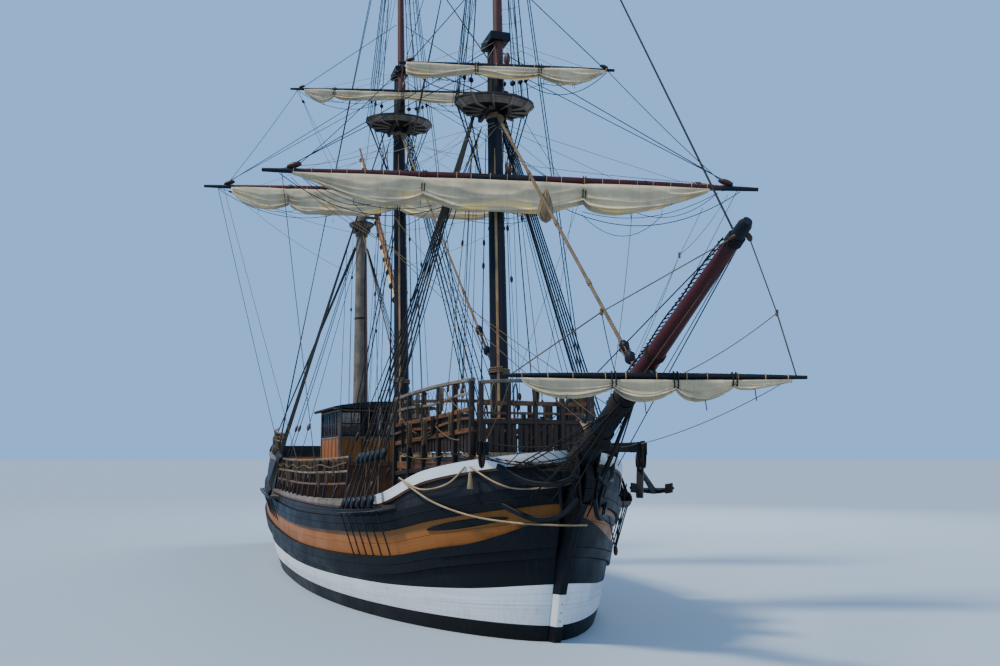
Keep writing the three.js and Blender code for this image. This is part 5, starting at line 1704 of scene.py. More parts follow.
def build_forecastle():
    """The forecastle's open frames: posts, worn rails, boards, netting and hanks of rope where pins
    would be.
    """
    oak, chance = "dark_oak weathered timber", random.Random(4)
    nets, coils, dark_coils = [], [], []
    for side, sign in SIDES:
        shape = Shape()
        for share in steps(0, 1, 5):
            foot, head = frame_spot(share, DECK + 0.002, sign), side_top(share)
            post(shape, foot.x, foot.y, foot.z, head, 0.053, 0, chance.uniform(0.3, 0.7), 0.014)
            spar(shape, vec(foot.x, foot.y, head), vec(foot.x, foot.y, head + 0.16),
                 [(0, 0.036), (0.35, 0.032), (0.5, 0.05), (0.85, 0.045), (1, 0.01)], sides=10)
        for drop, width, high, kind, bow in (
                (0.0, 0.10, 0.075, 1, 0.05), (0.60, 0.075, 0.095, 2, -0.02),
                (1.02, 0.065, 0.10, 2, 0.0), (1.70, 0.065, 0.10, 0, 0.0)):
            bent_rail(shape, [side_spot(s, drop - bow * math.sin(math.pi * s), sign)
                              for s in steps(-0.02, 1.02, 16)], width, high, kind,
                      chance.uniform(0.3, 0.7))
        for drop, kind in ((0.30, 1), (0.80, 2)):
            bent_rail(shape, [side_spot(s, drop - 0.03 * math.sin(9 * s), sign, 0.03)
                              for s in steps(0, 1, 12)], 0.04, 0.055, kind,
                      chance.uniform(0.4, 0.9))
        # boards behind the lower rails, and stout planks under the platform
        for n in range(5):
            a, b = (frame_spot(s, 0, sign, -0.03) for s in (n / 5 + 0.02, (n + 1) / 5 - 0.02))
            boarding(shape, a, b, FORECASTLE + 0.02, side_top(n / 5 + 0.1, 0.66), 0.125, 0.028,
                     0, 7 * n + sign, gap=0.035)
            for z, kind in ((2.72, 0), (2.92, 0), (3.12, 0), (3.32, 2)):
                beam(shape, a + lift(z), b + lift(z), 0.04, 0.17, kind, chance.uniform(0.2, 0.8))
        make(f"forecastle_side_{side}", shape, oak, stands_for=[f"forecastle_frame_{side}"])
        for s in (n / 22 for n in range(22)):
            if s + 0.09 <= 1:
                nets += [([side_spot(a, 0.04, sign, 0.02), side_spot(b, 0.58, sign, 0.02)], 0.0055)
                         for a, b in ((s, s + 0.09), (s + 0.09, s))]
        for n in range(9):
            pin = side_spot(0.06 + 0.105 * n, 0.60 if n % 3 else 0.02, sign, 0.075)
            (dark_coils if n % 4 == 1 else coils).append(coil(
                pin, vec(0, sign, 0), chance.uniform(0.35, 0.62), chance.randint(2, 4), 0.011))
        for s0, s1, drop0, drop1 in ((0.0, 0.35, 0.1, 0.9), (0.3, 0.62, 1.0, 0.75),
                                     (0.55, 0.9, 0.7, 1.2), (0.15, 0.75, 1.3, 1.45),
                                     (0.7, 1.0, 0.05, 0.7)):
            coils.append((hang(side_spot(s0, drop0, sign, 0.08),
                               side_spot(s1, drop1, sign, 0.08), 0.10), 0.012))
    for name, x, half, top, count in (("aft", 7.48, 1.90, 4.78, 6), ("fore", 10.86, 1.18, 5.02, 5)):
        shape = Shape()
        for y in steps(-half, half, count - 1):
            post(shape, x, y, FORECASTLE + 0.002, top, 0.048, 0, chance.uniform(0.3, 0.7), 0.014)
        for drop, wide, high, kind in ((0.0, 0.10, 0.075, 1), (0.42, 0.07, 0.09, 2),
                                       (0.80, 0.07, 0.09, 0), (0.62, 0.035, 0.05, 2)):
            bow = lambda y: 0 if drop else 1 - (y / half) ** 2
            bent_rail(shape, [vec(x + 0.10 * bow(y) * (name == "fore"), y,
                                  top - drop + 0.05 * bow(y))
                              for y in steps(-half - 0.06, half + 0.06, 12)], wide, high, kind,
                      chance.uniform(0.3, 0.7))
        boarding(shape, (x - 0.02, -half), (x - 0.02, half), FORECASTLE + 0.02, top - 0.84, 0.13,
                 0.03, 0, count, gap=0.045)
        make(f"forecastle_breast_{name}", shape, oak, stands_for=[f"forecastle_rail_{name}"])
        for n in range(5):
            pin = vec(x + 0.06, lerp(-half, half, (n + 0.5) / 5), top - 0.02)
            coils.append(coil(pin, vec(1, 0, 0), chance.uniform(0.35, 0.6), 3, 0.011))
    # timberheads and a fife rail round the foremast
    shape = Shape()
    for a in angles(12):
        post(shape, 9.1 + 1.05 * math.cos(a), 0.95 * math.sin(a), FORECASTLE + 0.004,
             chance.uniform(4.25, 4.75), 0.045, 0, 0.4)
    for z in (4.05, 4.3):
        bent_rail(shape, [vec(9.1 + 1.05 * math.cos(a), 0.95 * math.sin(a), z)
                          for a in steps(0, 2 * math.pi, 32)], 0.07, 0.06, 2)
    make("fife_rail", shape, oak)
    for a in angles(12, 0.5):
        pin = vec(9.1 + 1.13 * math.cos(a), 1.03 * math.sin(a), 4.3)
        coils.append(coil(pin, vec(math.cos(a), math.sin(a), 0), chance.uniform(0.35, 0.55), 3,
                          0.011))
    ropes("forecastle_netting", nets, "old_rope", sides=4)
    ropes("forecastle_hanks", coils, "old_rope", sides=5)
    ropes("forecastle_tarred_hanks", dark_coils, "tarred", sides=5)


def build_cabin():
    """The cabin: ochre boards below, dark panels and windows above, and a cambered roof."""
    aft, fore, half, sill, wall, eaves = -7.35, -3.50, 1.55, 4.12, 5.12, 0.26
    floor = QUARTERDECK + 0.004
    shape = Shape()
    box(shape, (aft + 0.05, -half + 0.05, QUARTERDECK + 0.002),
        (fore - 0.05, half - 0.05, wall - 0.002), 1)
    for n, (x0, y0, x1, y1, bays) in enumerate((
            (fore - 0.03, -half, fore - 0.03, half, 4), (aft + 0.03, half, aft + 0.03, -half, 4),
            (aft, -half + 0.03, fore, -half + 0.03, 5), (fore, half - 0.03, aft, half - 0.03, 5))):
        a, b = vec(x0, y0, 0), vec(x1, y1, 0)
        boarding(shape, a, b, floor, sill, 0.15, 0.05, 0, 30 + n, gap=0.008)
        way = (b - a).normalized()
        out = vec(way.y, -way.x, 0) * 0.02
        for k in range(bays):
            p, q = a.lerp(b, (k + 0.09) / bays), a.lerp(b, (k + 0.91) / bays)
            boarding(shape, p, q, sill + 0.1, wall - 0.12, (q - p).length, 0.03, 3, k, gap=0)
            for share in (0.0, 0.5, 1.0):
                spot = p.lerp(q, share) + out
                beam(shape, spot + lift(sill + 0.08), spot + lift(wall - 0.1), 0.035, 0.03, 4)
            for z in (sill + 0.1, (sill + wall) / 2, wall - 0.12):
                beam(shape, p + out + lift(z), q + out + lift(z), 0.03, 0.035, 4)
        for k in range(bays + 1):
            spot = a.lerp(b, k / bays)
            beam(shape, spot + lift(floor), spot + lift(wall - 0.002), 0.07, 0.07,
                 2 if k in (0, bays) else 4)
        for z in (sill + 0.03, wall - 0.05):
            beam(shape, a + out * 0.4 + lift(z), b + out * 0.4 + lift(z), 0.06, 0.07, 2)
    make("cabin_walls", shape, "ochre blue weathered glass dark_oak",
         stands_for=["cabin"])
    roof = Shape()
    spread, ends = half + eaves, (aft - eaves, fore + eaves)
    ys = steps(-spread, spread, 24)
    top = lambda y: wall + 0.058 + 0.19 * (1 - (y / spread) ** 2)
    section = [(y, top(y)) for y in ys] + [(spread, wall + 0.01), (-spread, wall + 0.01)]
    roof.skin([[vec(x, y, z) for y, z in section] for x in ends])
    for y in steps(-1.5, 1.5, 6):
        beam(roof, *(vec(x, y, top(y) - 0.006) for x in ends), 0.05, 0.03, 1)
    for x in (ends[0] + 0.02, ends[1] - 0.02):
        bent_rail(roof, [vec(x, y, top(y) - 0.05) for y in ys], 0.035, 0.10, 2, 0.6)
    make("cabin_roof", roof, "grey dark_oak weathered")


def build_open_rails():
    """Pale rails on dark stanchions over the waist and quarterdeck, with what hangs there."""
    coils, lines = [], []
    chance = random.Random(9)
    for side, sign in SIDES:
        shape = Shape()
        for start, end, base, height, count in ((-3.05, 6.9, waist_rail, 0.95, 13),
                                                (-12.7, -3.35, quarter_rail, 0.80, 12)):
            over = lambda x, share, out=-0.06: rail_spot(x, base(x) + height * share, sign, out)
            for x in steps(start, end, count - 1):
                beam(shape, rail_spot(x, base(x) - 0.002, sign), over(x, 1), 0.055, 0.06, 1,
                     chance.uniform(0.3, 0.6))
            fine = steps(start, end, 40)
            for share, wide, high, kind in ((1.0, 0.085, 0.055, 0), (0.66, 0.05, 0.05, 0),
                                            (0.36, 0.05, 0.05, 2)):
                bent_rail(shape, [over(x, share) for x in fine], wide, high, kind,
                          chance.uniform(0.4, 0.8))
            for x in steps(start + 0.2, end - 0.2, 2 * count - 1):
                pin = over(x, chance.choice((1.0, 0.66)), -0.01)
                coils.append(coil(pin, vec(0, sign, 0), chance.uniform(0.25, 0.5), 2, 0.010))
            lines.append(([over(x, 0.82 + 0.04 * math.sin(3 * x), 0.0) for x in fine], 0.014))
        make(f"open_rails_{side}", shape, "weathered dark_oak timber")
    ropes("rail_hanks", coils, "old_rope", sides=5)
    ropes("rail_ridge_ropes", lines, "old_rope", sides=5)


def build_hatch():
    """A grating on the main hatch."""
    shape = Shape()
    top = frame_top("main_hatch")
    for y in steps(-0.70, 0.70, 10):
        box(shape, (0.62, y - 0.03, top - 0.058), (2.18, y + 0.03, top - 0.012), 0, 0.5, 0.004)
    for x in steps(0.68, 2.12, 11):
        box(shape, (x - 0.03, -0.735, top - 0.04), (x + 0.03, 0.735, top - 0.004), 0, 0.65, 0.004)
    make("hatch_grating", shape, "timber")


# Running rigging

def arm(name, share, up=0.0):
    """A place on a square yard, at a share of its half length from its middle."""
    yard = YARDS[name]
    y = share * yard["half"]
    off = up + math.copysign(yard_radius(yard, y), up) if up else 0.0
    return yard_frame(name) @ vec(0, y, off)


def round_spar(turn, yard, y, radius, drop=0.0):
    """A turn of line round a yard, or round the yard and the sail below it."""
    r = yard_radius(yard, y) + radius
    return [turn @ vec(r * math.sin(a) * (1.9 if drop else 1.0), y + 0.012 * i / 10,
                       r * math.cos(a) - (drop if math.cos(a) < -0.2 else 0))
            for i, a in enumerate(steps(0, 2 * math.pi, 10))]


def build_yard_gear():
    """What each yard carries: robands, gaskets, footropes, blocks, lifts and clewlines."""
    for name, yard in [*YARDS.items(), ("spritsail", SPRITSAIL)]:
        turn = yard_frame(name)
        chance = random.Random(len(name))
        gear = Gear()
        start, end = yard["head"]
        for y in steps(start, end, int((end - start) / 0.42)):
            gear.hemp(0.009, *round_spar(turn, yard, y + chance.uniform(-0.06, 0.06), 0.010))
        for y, *_ in yard["bights"][1:]:
            depth = min(bight_depth(yard, y)[0], 0.34)
            for shift in (-0.03, 0.03):
                gear.tar(0.012, *round_spar(turn, yard, y + shift, 0.016, depth))
        for first, last, *_, lowest in yard["bights"]:
            # buntlines run from the sail's lowest places up to the yard
            y = lerp(first, last, lowest)
            depth, r, thick = bight_depth(yard, y)[0], yard_radius(yard, y), yard["thick"]
            if name != "spritsail":
                gear.tar(0.006, *curved([turn @ vec(x, y + 0.02 * k, z) for k, (x, z) in enumerate((
                    (r + 0.01, r * 0.5), (0.30 * thick + r * 0.4, -r - 0.3 * depth),
                    (0.42 * thick, -r - 0.75 * depth)))], 4))
            gear.tar(0.008, turn @ vec(0.05, y + 0.05, -r - depth),
                     turn @ vec(0.06, y + 0.07, -r - depth - chance.uniform(0.10, 0.22)))
        if name != "spritsail":
            dress_arms(gear, yard, turn)
        ropes(f"{name}_robands", gear.pale, "hemp", body=name, sides=4)
        ropes(f"{name}_lines", gear.dark, "tarred", body=name, sides=4)
        if gear.blocks:
            scatter(f"{name}_blocks", pulley(), gear.blocks, "elm", body=name)


def dress_arms(gear, yard, turn):
    """The lines and blocks on both arms of a square yard, and its tie block."""
    mast, upper, half, mid = MASTS[yard["mast"]], yard["upper"], yard["half"], yard["mid"]
    ahead = mast["ahead"]
    lift_z, lift_x, side_z, side_x, clew, bunt, foot, fall, big, at = (
        (yard["z"] + 2.6, ahead, yard["z"] + 0.7, ahead, 0.16, 0.13, 0.45, 0.42, 0.20, 0.9)
        if upper else
        (mast["cap"] - 0.1, 0.1, mast["top"] - 0.5, 0.15, 0.34, 0.30, 0.75, 0.72, 0.34, 0.87))
    hub = mast_point(yard["mast"], lift_z, lift_x)
    top_side = mast_point(yard["mast"], side_z, side_x)
    for sign in (-1, 1):
        place = lambda x, share, z: turn @ vec(x, sign * half * share, z)
        thick = lambda share: yard_radius(yard, half * share)
        tip, near = place(0, 0.90, thick(0.9)), hub + vec(0, sign * 0.16, 0)
        gear.tar(0.011, tip, near)
        if not upper:
            gear.tar(0.010, tip + lift(0.03), near - lift(0.35))
        # clewline, and the bights of slack line below the arm
        corner = place(0, 0.84, -thick(0.84) - 0.05)
        gear.slack(0.0075, corner, place(0.04, 0.30, -mid - yard["drop"] * 0.85), clew, 14)
        gear.slack(0.0075, corner, place(0, 0.52, -mid - yard["drop"] * 0.8), bunt, 12)
        gear.slack(0.0095, place(-0.05, 0.93, -thick(0.93)), place(-0.02, 0.14, -mid - 0.25), foot,
                   18)
        for share in (0.35, 0.62):
            gear.tar(0.007, place(-0.03, share, 0), place(-0.05, share, -fall))
        gear.block(place(0, at, thick(0.87) + big * 0.24), turn.to_3x3() @ vec(0, -sign, 0.28),
                   big * 0.62, big)
        for share in (0.18, 0.42, 0.66):
            gear.block(place(0.03, share, -thick(share) - 0.06), vec(0, 0.2, 1), 0.11, 0.16)
        # leech and bunt lines gather towards the top
        for share in (0.2, 0.42, 0.7):
            gear.hemp(0.0065, place(0.05, share, thick(share)),
                      top_side + vec(0.03, sign * 0.1 * share, 0.2 * share))
    gear.block(turn @ lift(mid + 0.12), lift(1), 0.22, 0.30)


def led(name, runs, body, start, end):
    """Lines from a moving yard to the ship, as one free piece that stays where it is made; it does
    not follow the yard as it swings.
    """
    piece = ropes(name, runs, "old_rope", body=None, sides=4)
    tuple(start)
    tuple(end)
    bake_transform(piece)


def build_running_rigging():
    """Halyards, braces, bowlines and falls between the masts, the sides and the bowsprit."""
    gear, chance = Gear(), random.Random(12)
    # falls down each mast to the deck
    for name, count, deck_z, reach in (("fore", 14, 4.35, (0.55, 1.25)),
                                       ("main", 14, 2.3, (0.55, 1.25)),
                                       ("mizzen", 6, 4.2, (0.5, 0.9))):
        mast = MASTS[name]
        for i, a in enumerate(angles(count, 0.5)):
            spread = chance.uniform(*reach)
            top = mast_point(name, mast["top"] - chance.uniform(0.1, 1.2),
                             -0.12 - 0.30 * abs(math.cos(a)) * mast["long"], 0.55 * math.sin(a))
            foot = mast_point(name, deck_z, -spread * abs(math.cos(a)),
                              spread * math.sin(a) * 1.1)
            (gear.dark if i % 3 else gear.pale).append(
                (hang(foot, top, 0.04, 6), chance.choice((0.008, 0.010, 0.013))))
            gear.block(foot.lerp(top, chance.uniform(0.05, 0.12)), top - foot, 0.10, 0.17)
            if i % 2:
                gear.block(foot.lerp(top, chance.uniform(0.5, 0.8)), top - foot, 0.09, 0.15)
    # tackles from the mastheads to the sides
    for name, xs, z in (("fore", (8.2, 7.0, 6.2), 11.4), ("main", (-1.6, -2.6, 0.8), 14.2)):
        for sign in (-1, 1):
            top = mast_point(name, z, -0.25, sign * 0.25)
            for x in xs:
                foot = rail_spot(x, waist_rail(x) + 0.05, sign, -0.02)
                gear.tar(0.012, foot, top)
                gear.tar(0.010, foot + vec(0.05, 0, 0), foot.lerp(top, 0.16))
                gear.block(foot.lerp(top, 0.16), top - foot, 0.13, 0.22)
                gear.block(foot.lerp(top, 0.02), top - foot, 0.12, 0.20)
    # braces: from each arm aft to the next mast, doubled through a block
    for name, mast, high, low in (
            ("fore_course", "main", 13.9, 12.6), ("fore_topsail", "main", 16.6, 15.2),
            ("main_course", "mizzen", 12.2, 10.5), ("main_topsail", "mizzen", 13.6, 13.0)):
        pendants = Gear()
        for side, sign in SIDES:
            tip, far = arm(name, sign * 0.95), mast_point(mast, high, 0.25, sign * 0.2)
            near = tip.lerp(far, 0.10)
            led(f"{name}_braces_{side}", [
                ([tip, near], 0.010), (hang(near, far, 0.15, 16), 0.0075),
                (hang(near, mast_point(mast, low, 0.25, sign * 0.25), 0.25, 16), 0.0075)],
                name, tip, far)
            pendants.block(near, near - tip, 0.10, 0.17)
        scatter(f"{name}_brace_blocks", pulley(), pendants.blocks, "elm", body=name)
    # bowlines and clew gear from the fore yards to the bowsprit, sheets to the rails
    slack = {"fore_course": [], "main_course": []}
    for side, sign in SIDES:
        fore = lambda share, up=0.0: arm("fore_course", sign * share, up)
        clew = fore(0.78, -0.42)
        knot = clew.lerp(bowsprit_point(14.5, 0.3), 0.30)
        near, far = (bowsprit_point(x, bowsprit_radius(x), sign * 0.1) for x in (13.9, 14.6))
        led(f"fore_bowlines_{side}", [
            (hang(clew, knot, 0.02), 0.008), (hang(fore(0.88, -0.1), knot, 0.12), 0.008),
            ([knot - lift(0.06), knot + lift(0.06)], 0.030),
            (hang(knot, near, 0.08, 14), 0.0075), (hang(knot, far, 0.08, 14), 0.0075),
            (hang(fore(0.5, -0.55), bowsprit_point(14.2, 0.2, sign * 0.1), 0.35, 16), 0.0075)],
            "fore_course", clew, near)
        # slack bights that hang between the sail's foot and the stay
        slack["fore_course"] += [
            (hang(fore(0.62, -0.62), fore(0.30, -0.66), 0.5), 0.007),
            (hang(arm("fore_topsail", sign * 0.93), fore(0.86, 0.05), 0.06), 0.009)]
        slack["main_course"].append((hang(arm("main_topsail", sign * 0.93),
                                          arm("main_course", sign * 0.88, 0.05), 0.06), 0.009))
        for n, (name, share, x, z) in enumerate((
                ("fore_course", 0.92, 5.0, waist_rail(5.0) + 0.1),
                ("main_course", 0.93, -3.0, 3.45), ("main_course", 0.90, 1.2, 3.4))):
            start, end = arm(name, sign * share), rail_spot(x, z, sign, 0.0)
            led(f"{name}_sheet_{n}_{side}", [(hang(start, end, 0.05, 18), 0.010)], name, start,
                end)
    for name, lines in slack.items():
        ropes(f"{name}_bights", lines, "tarred", body=name, sides=4)
    # stays and halyards that go up the topmasts, and between the masts
    for name in ("fore", "main"):
        top, ahead = MASTS[name]["top"], MASTS[name]["ahead"]
        for forward, z in ((-0.25, 6.0), (-0.6, 5.0), (-0.45, 7.0), (-0.9, 8.0)):
            for sign in (-1, 1):
                gear.tar(0.008, mast_point(name, top + 0.25, forward * 0.8, sign * 0.85),
                         mast_point(name, top + z, ahead, sign * 0.1))
    gear.tar(0.011, mast_point("fore", 21.0, 0.33), mast_point("main", 16.2, 0.1))
    gear.tar(0.016, mast_point("main", 16.9, 0.35), mast_point("fore", 12.2, -0.2))
    gear.tar(0.010, mast_point("main", 24.2, 0.35), mast_point("mizzen", 13.7))
    ropes("running_lines", gear.dark, "tarred", sides=4)
    ropes("hemp_lines", gear.pale, "hemp", sides=4)
    scatter("line_blocks", pulley(), gear.blocks, "elm")


def build_bow_gear():
    """What crowds the bow: lashings, bobstays, laddered ropes, spritsail gear and slack lines."""
    gear, chance = Gear(), random.Random(21)
    # a serpentine lashing over the bowsprit's back, laced between two ropes
    for a, b, count in ((11.9, 14.1, 24), (14.6, 18.4, 40)):
        for y in (-0.07, 0.07):
            gear.tar(0.013, *(
                bowsprit_point(x, bowsprit_radius(x) + 0.05 + 0.02 * math.sin(5 * x), y)
                for x in steps(a, b, 24)))
        for x in steps(a, b, count)[:-1]:
            gear.tar(0.010, *(bowsprit_point(x + on, bowsprit_radius(x) + up, y) for on, up, y in
                              ((0, 0.05, -0.09), (0.03, 0.075, 0), (0.06, 0.05, 0.09))))
    # turns of rope round it
    for x, turns, radius in ((13.85, 7, 0.020), (14.75, 8, 0.016), (15.05, 4, 0.014),
                             (16.1, 3, 0.013), (12.35, 6, 0.022), (18.45, 5, 0.013),
                             (13.3, 3, 0.016)):
        run = []
        for k in range(turns * 14 + 1):
            a, spot = 2 * math.pi * k / 14, x + 2 * radius * k / 14
            r = bowsprit_radius(spot) + radius
            run.append(bowsprit_frame(spot) @ vec(0, r * math.cos(a), r * math.sin(a)))
        gear.tar(radius, *run)
    # two hearts on the bowsprit with their lanyard
    for k in range(-3, 4):
        gear.hemp(0.011, bowsprit_point(13.75, 0.22, 0.035 * k),
                  bowsprit_point(13.62, 0.52, 0.028 * k))
    hearts = [(bowsprit_point(x, up), facing(vec(0.3, 1, 0)), size)
              for x, up, size in ((13.78, 0.25, (1.5, 1.25, 1.2)), (13.56, 0.56, (1.4, 1.2, 1.1)))]
    # bobstays and the laddered ropes below the bowsprit on each side
    for sign in (-1, 1):
        under = lambda x: bowsprit_point(x, -0.12, sign * 0.12)
        for k, (outer, x, y, z) in enumerate((
                (15.0, 12.6, 0.55, 2.9), (15.1, 12.5, 0.75, 2.75), (14.95, 12.7, 0.40, 2.7),
                (14.9, 12.2, 1.0, 3.3), (14.85, 12.4, 0.85, 3.35), (15.05, 12.75, 0.30, 2.4))):
            gear.slack(0.014, under(outer), vec(x, sign * y, z), 0.03 * (k % 3))
        for t in ((n + 0.5) / 16 for n in range(16)):
            gear.tar(0.008, under(15.0).lerp(vec(12.6, sign * 0.55, 2.9), t),
                     under(14.9).lerp(vec(12.2, sign, 3.3), t))
        gear.tar(0.010, bowsprit_point(18.6, 0, sign * 0.1), vec(12.35, sign * 1.15, 3.35))
    # netting below the bowsprit's inner half
    for x in steps(12.6, 15.0, 18)[:-1]:
        low = vec(x - 0.25, chance.uniform(-0.35, 0.35),
                  bowsprit_point(x).z - 0.35 - 0.5 * chance.random())
        gear.tar(0.009, bowsprit_point(x, -0.1, -0.14), low, bowsprit_point(x + 0.22, -0.1, 0.14))
    # spritsail yard: lifts through a block, sheets and its brace
    turn, tip = yard_frame("spritsail"), bowsprit_point(18.75, -0.06, 0.02)
    for side, sign in reversed(SIDES):
        end = turn @ vec(0, sign * SPRITSAIL["half"] * 0.93, 0.03)
        knot = tip.lerp(end, 0.58) + lift(0.10)
        led(f"spritsail_lift_{side}", [
            (hang(tip, knot), 0.010), (hang(knot, end), 0.012),
            (hang(knot, bowsprit_point(15.2, 0.0, sign * 0.13), 0.14, 14), 0.008),
            (hang(tip, turn @ vec(0, sign * 0.15, 0.05)), 0.009),
            ([knot - lift(0.05), knot + lift(0.05)], 0.028)], "spritsail", end, tip)
        gear.block(tip.lerp(knot, 0.08), tip - knot, 0.09, 0.16)
        cleat = vec(12.3, sign * 1.6, 3.75)
        led(f"spritsail_brace_{side}", [(hang(end, cleat, 0.12, 18), 0.008)], "spritsail", end,
            cleat)
    # slack lines over the starboard bow, and the tassel that hangs from one
    for radius, beside, ahead in (
            (0.018, ((9.55, 3.08, 0.08), (10.2, 2.86, 0.09), (10.9, 2.98, 0.09),
                     (11.35, 3.32, 0.08)), ()),
            (0.018, ((11.45, 3.32, 0.08), (11.9, 3.02, 0.10), (12.25, 2.92, 0.14)),
             ((12.95, -0.35, 2.98), (13.25, -0.12, 3.10))),
            (0.020, ((9.75, 2.98, 0.10), (10.5, 2.62, 0.11), (11.3, 2.38, 0.13),
                     (12.0, 2.28, 0.16)), ((12.75, -0.30, 2.26), (13.2, 0.10, 2.28)))):
        gear.hemp(radius, *curved([*(side_at(*spot) for spot in beside), *ahead]))
    tassel = side_at(11.45, 3.2, 0.10)
    for a in angles(12):
        way = vec(math.cos(a), math.sin(a), 0)
        gear.hemp(0.010, tassel + lift(0.06), tassel + way * 0.025 - lift(0.04),
                  tassel + way * 0.05 - lift(0.30))
    for k in range(9):
        gear.slack(0.009, side_at(11.0 + 0.15 * k, 3.30 - 0.02 * k, 0.07, up=0.3),
                   bowsprit_point(13.0 + 0.1 * k, -0.1, -0.15), 0.12 + 0.03 * (k % 3))
    # tackle and a hank on each cathead, and the anchor's lashings under the port one
    for side, sign in SIDES:
        end = vec(CATHEAD_OUT[0] - 0.06, sign * CATHEAD_OUT[1], frame_top(f"cathead_{side}"))
        gear.block(end - lift(0.34), lift(1), 0.20, 0.30)
        for k in range(3):
            gear.tar(0.011, end + vec(0.03 * k, 0, -0.05), end + vec(0.02 * k, 0, -0.34))
        gear.slack(0.012, end, bowsprit_point(13.6, 0.1, sign * 0.18), 0.1)
        gear.dark.append(coil(end + vec(0.02, 0, 0.02), vec(0.9, 0.4 * sign, 0), 0.5, 4, 0.013))
    low = vec(12.6, 0.95, 1.75)
    for high in ((12.35, 1.15, 2.35), (12.75, 0.75, 2.40), (12.5, 1.25, 3.0)):
        gear.tar(0.012, high, low)
    gear.block(low, lift(1), 0.12, 0.18)
    ropes("bow_lines", gear.dark, "tarred", sides=5)
    ropes("bow_hemp_lines", gear.pale, "hemp", sides=6)
    scatter("bow_blocks", pulley(), gear.blocks, "elm")
    scatter("stay_hearts", deadeye(), hearts, "spar")
    build_sack()


def build_sack():
    """A netted sack of cordage made fast to the fore stay."""
    top, low = mast_point("fore", 11.56, 0.25), bowsprit_point(15.55, 0.2)
    head = top.lerp(low, 0.37) + vec(0.05, 0.16, -0.05)

    def place(t, a, out):
        """A place on the pear-shaped sack, a share down it and an angle round it."""
        r = out + 0.15 * max(0.0, math.sin(math.pi * t ** 1.7)) ** 0.5
        return head + vec(r * math.cos(a) * 0.85, r * math.sin(a), 0.05 - 0.74 * t)

    shape = Shape()
    shape.skin([[place(t, a, 0.012) + lift(0.012 * math.sin(5 * a + 9 * t)) for a in angles(18)]
                for t in steps(0, 1, 15)])
    make("net_sack", shape, "sacking", sharp=70)
    ropes("net_sack_mesh", [([place(t, a + turn * 1.6 * t, 0.017) for t in steps(0, 1, 15)], 0.006)
                            for turn in (1, -1) for a in angles(9)], "hemp", sides=4)


# Stage

CAMERA_AT = (30.18, -7.39, 3.53)
CAMERA_AIM = (-0.946, 0.324, math.tan(math.radians(7.012)))
LENS, SENSOR = 36.0, 36.0
SUN_FROM = (-0.10, -0.80, 1.0)
LAMPS = (
    # name, place, aim, size, power
    ("fill", (38, 10, 16), (2, 0, 6), 26, 2500),
    ("back", (-26, 26, 26), (0, 0, 8), 20, 9000),
)


def aimed(name, data, place, way, axis="-Z"):
    """A lamp or a camera at a place, with one of its axes turned along a way."""
    thing = link(bpy.data.objects.new(name, data))
    thing.location = place
    thing.rotation_euler = Vector(way).to_track_quat(axis, "Y").to_euler()
    return thing


def build_stage():
    """The floor at the waterline, soft lamps, a pale sky and the camera."""
    scene = bpy.context.scene
    mesh = bpy.data.meshes.new("floor")
    far = 900.0
    mesh.from_pydata([(-far, -far, 0), (far, -far, 0), (far, far, 0), (-far, far, 0)], [],
                     [(0, 1, 2, 3)])
    # a matt studio floor, which gives the eye nothing but its one tone
    finish, _, _ = new_finish("matt_studio_floor", Roughness=0.9, Specular_IOR_Level=0.1,
                              Base_Color=rgba(colours().backdrop))
    mesh.materials.append(finish)
    link(bpy.data.objects.new("floor", mesh))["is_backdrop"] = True
    for name, place, aim, size, power in LAMPS:
        data = bpy.data.lights.new(name, "AREA")
        data.shape, data.size, data.energy = "DISK", size, power
        aimed(name, data, place, Vector(aim) - Vector(place))
    sun = bpy.data.lights.new("sun", "SUN")
    sun.energy, sun.angle, sun.color = 4.6, math.radians(9), (1.0, 0.90, 0.76)
    aimed("sun", sun, (0, 0, 0), SUN_FROM, "Z")
    world = scene.world = bpy.data.worlds.new("pale_sky")
    world.use_nodes = True
    give(world.node_tree.nodes["Background"], Color=(0.29, 0.58, 1.06, 1), Strength=1.0)
    lens = bpy.data.cameras.new("camera")
    lens.lens, lens.sensor_width, lens.clip_end = LENS, SENSOR, 4000
    scene.camera = aimed("camera", lens, CAMERA_AT, CAMERA_AIM)


PLAIN = {"rudder": "black", "anchor": "iron", "forecastle_deck": "deck", "main_hatch": "timber",
         "capstan": "timber", "fore_bitts": "dark_oak", "fore_cap": "spar", "main_cap": "spar"}


def paint_rest():
    """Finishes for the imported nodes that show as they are."""
    for name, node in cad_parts.items():
        for start, finish in PLAIN.items():
            if name.startswith(start):
                node.data.materials.clear()
                node.data.materials.append(finish_of(finish))


def run_all(*builds):
    """Runs the builders of one step, for its operator."""
    for build in builds:
        build()
    return {"FINISHED"}


class SHIP_OT_stage(bpy.types.Operator):
    """Sets the floor, the lamps, the sky and the camera."""
    bl_idname = "ship.stage"
    bl_label = "Stage"

    def execute(self, context):
        return run_all(build_stage)


class SHIP_OT_paint(bpy.types.Operator):
    """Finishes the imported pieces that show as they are."""
    bl_idname = "ship.paint"
    bl_label = "Paint"

    def execute(self, context):
        return run_all(paint_rest)


class SHIP_OT_hull(bpy.types.Operator):
    """Planks both sides, the wales and the stern, and lays the rails and the channels."""
    bl_idname = "ship.hull"
    bl_label = "Hull"

    def execute(self, context):
        return run_all(build_hull, build_caps, build_channels)


class SHIP_OT_bow(bpy.types.Operator):
    """Shapes the stem, the knee of the head, the head rails and the catheads."""
    bl_idname = "ship.bow"
    bl_label = "Bow"

    def execute(self, context):
        return run_all(build_stem, build_head)


class SHIP_OT_decks(bpy.types.Operator):
    """Lays the decks and the bulkhead between them."""
    bl_idname = "ship.decks"
    bl_label = "Decks"

    def execute(self, context):
        return run_all(build_decks)


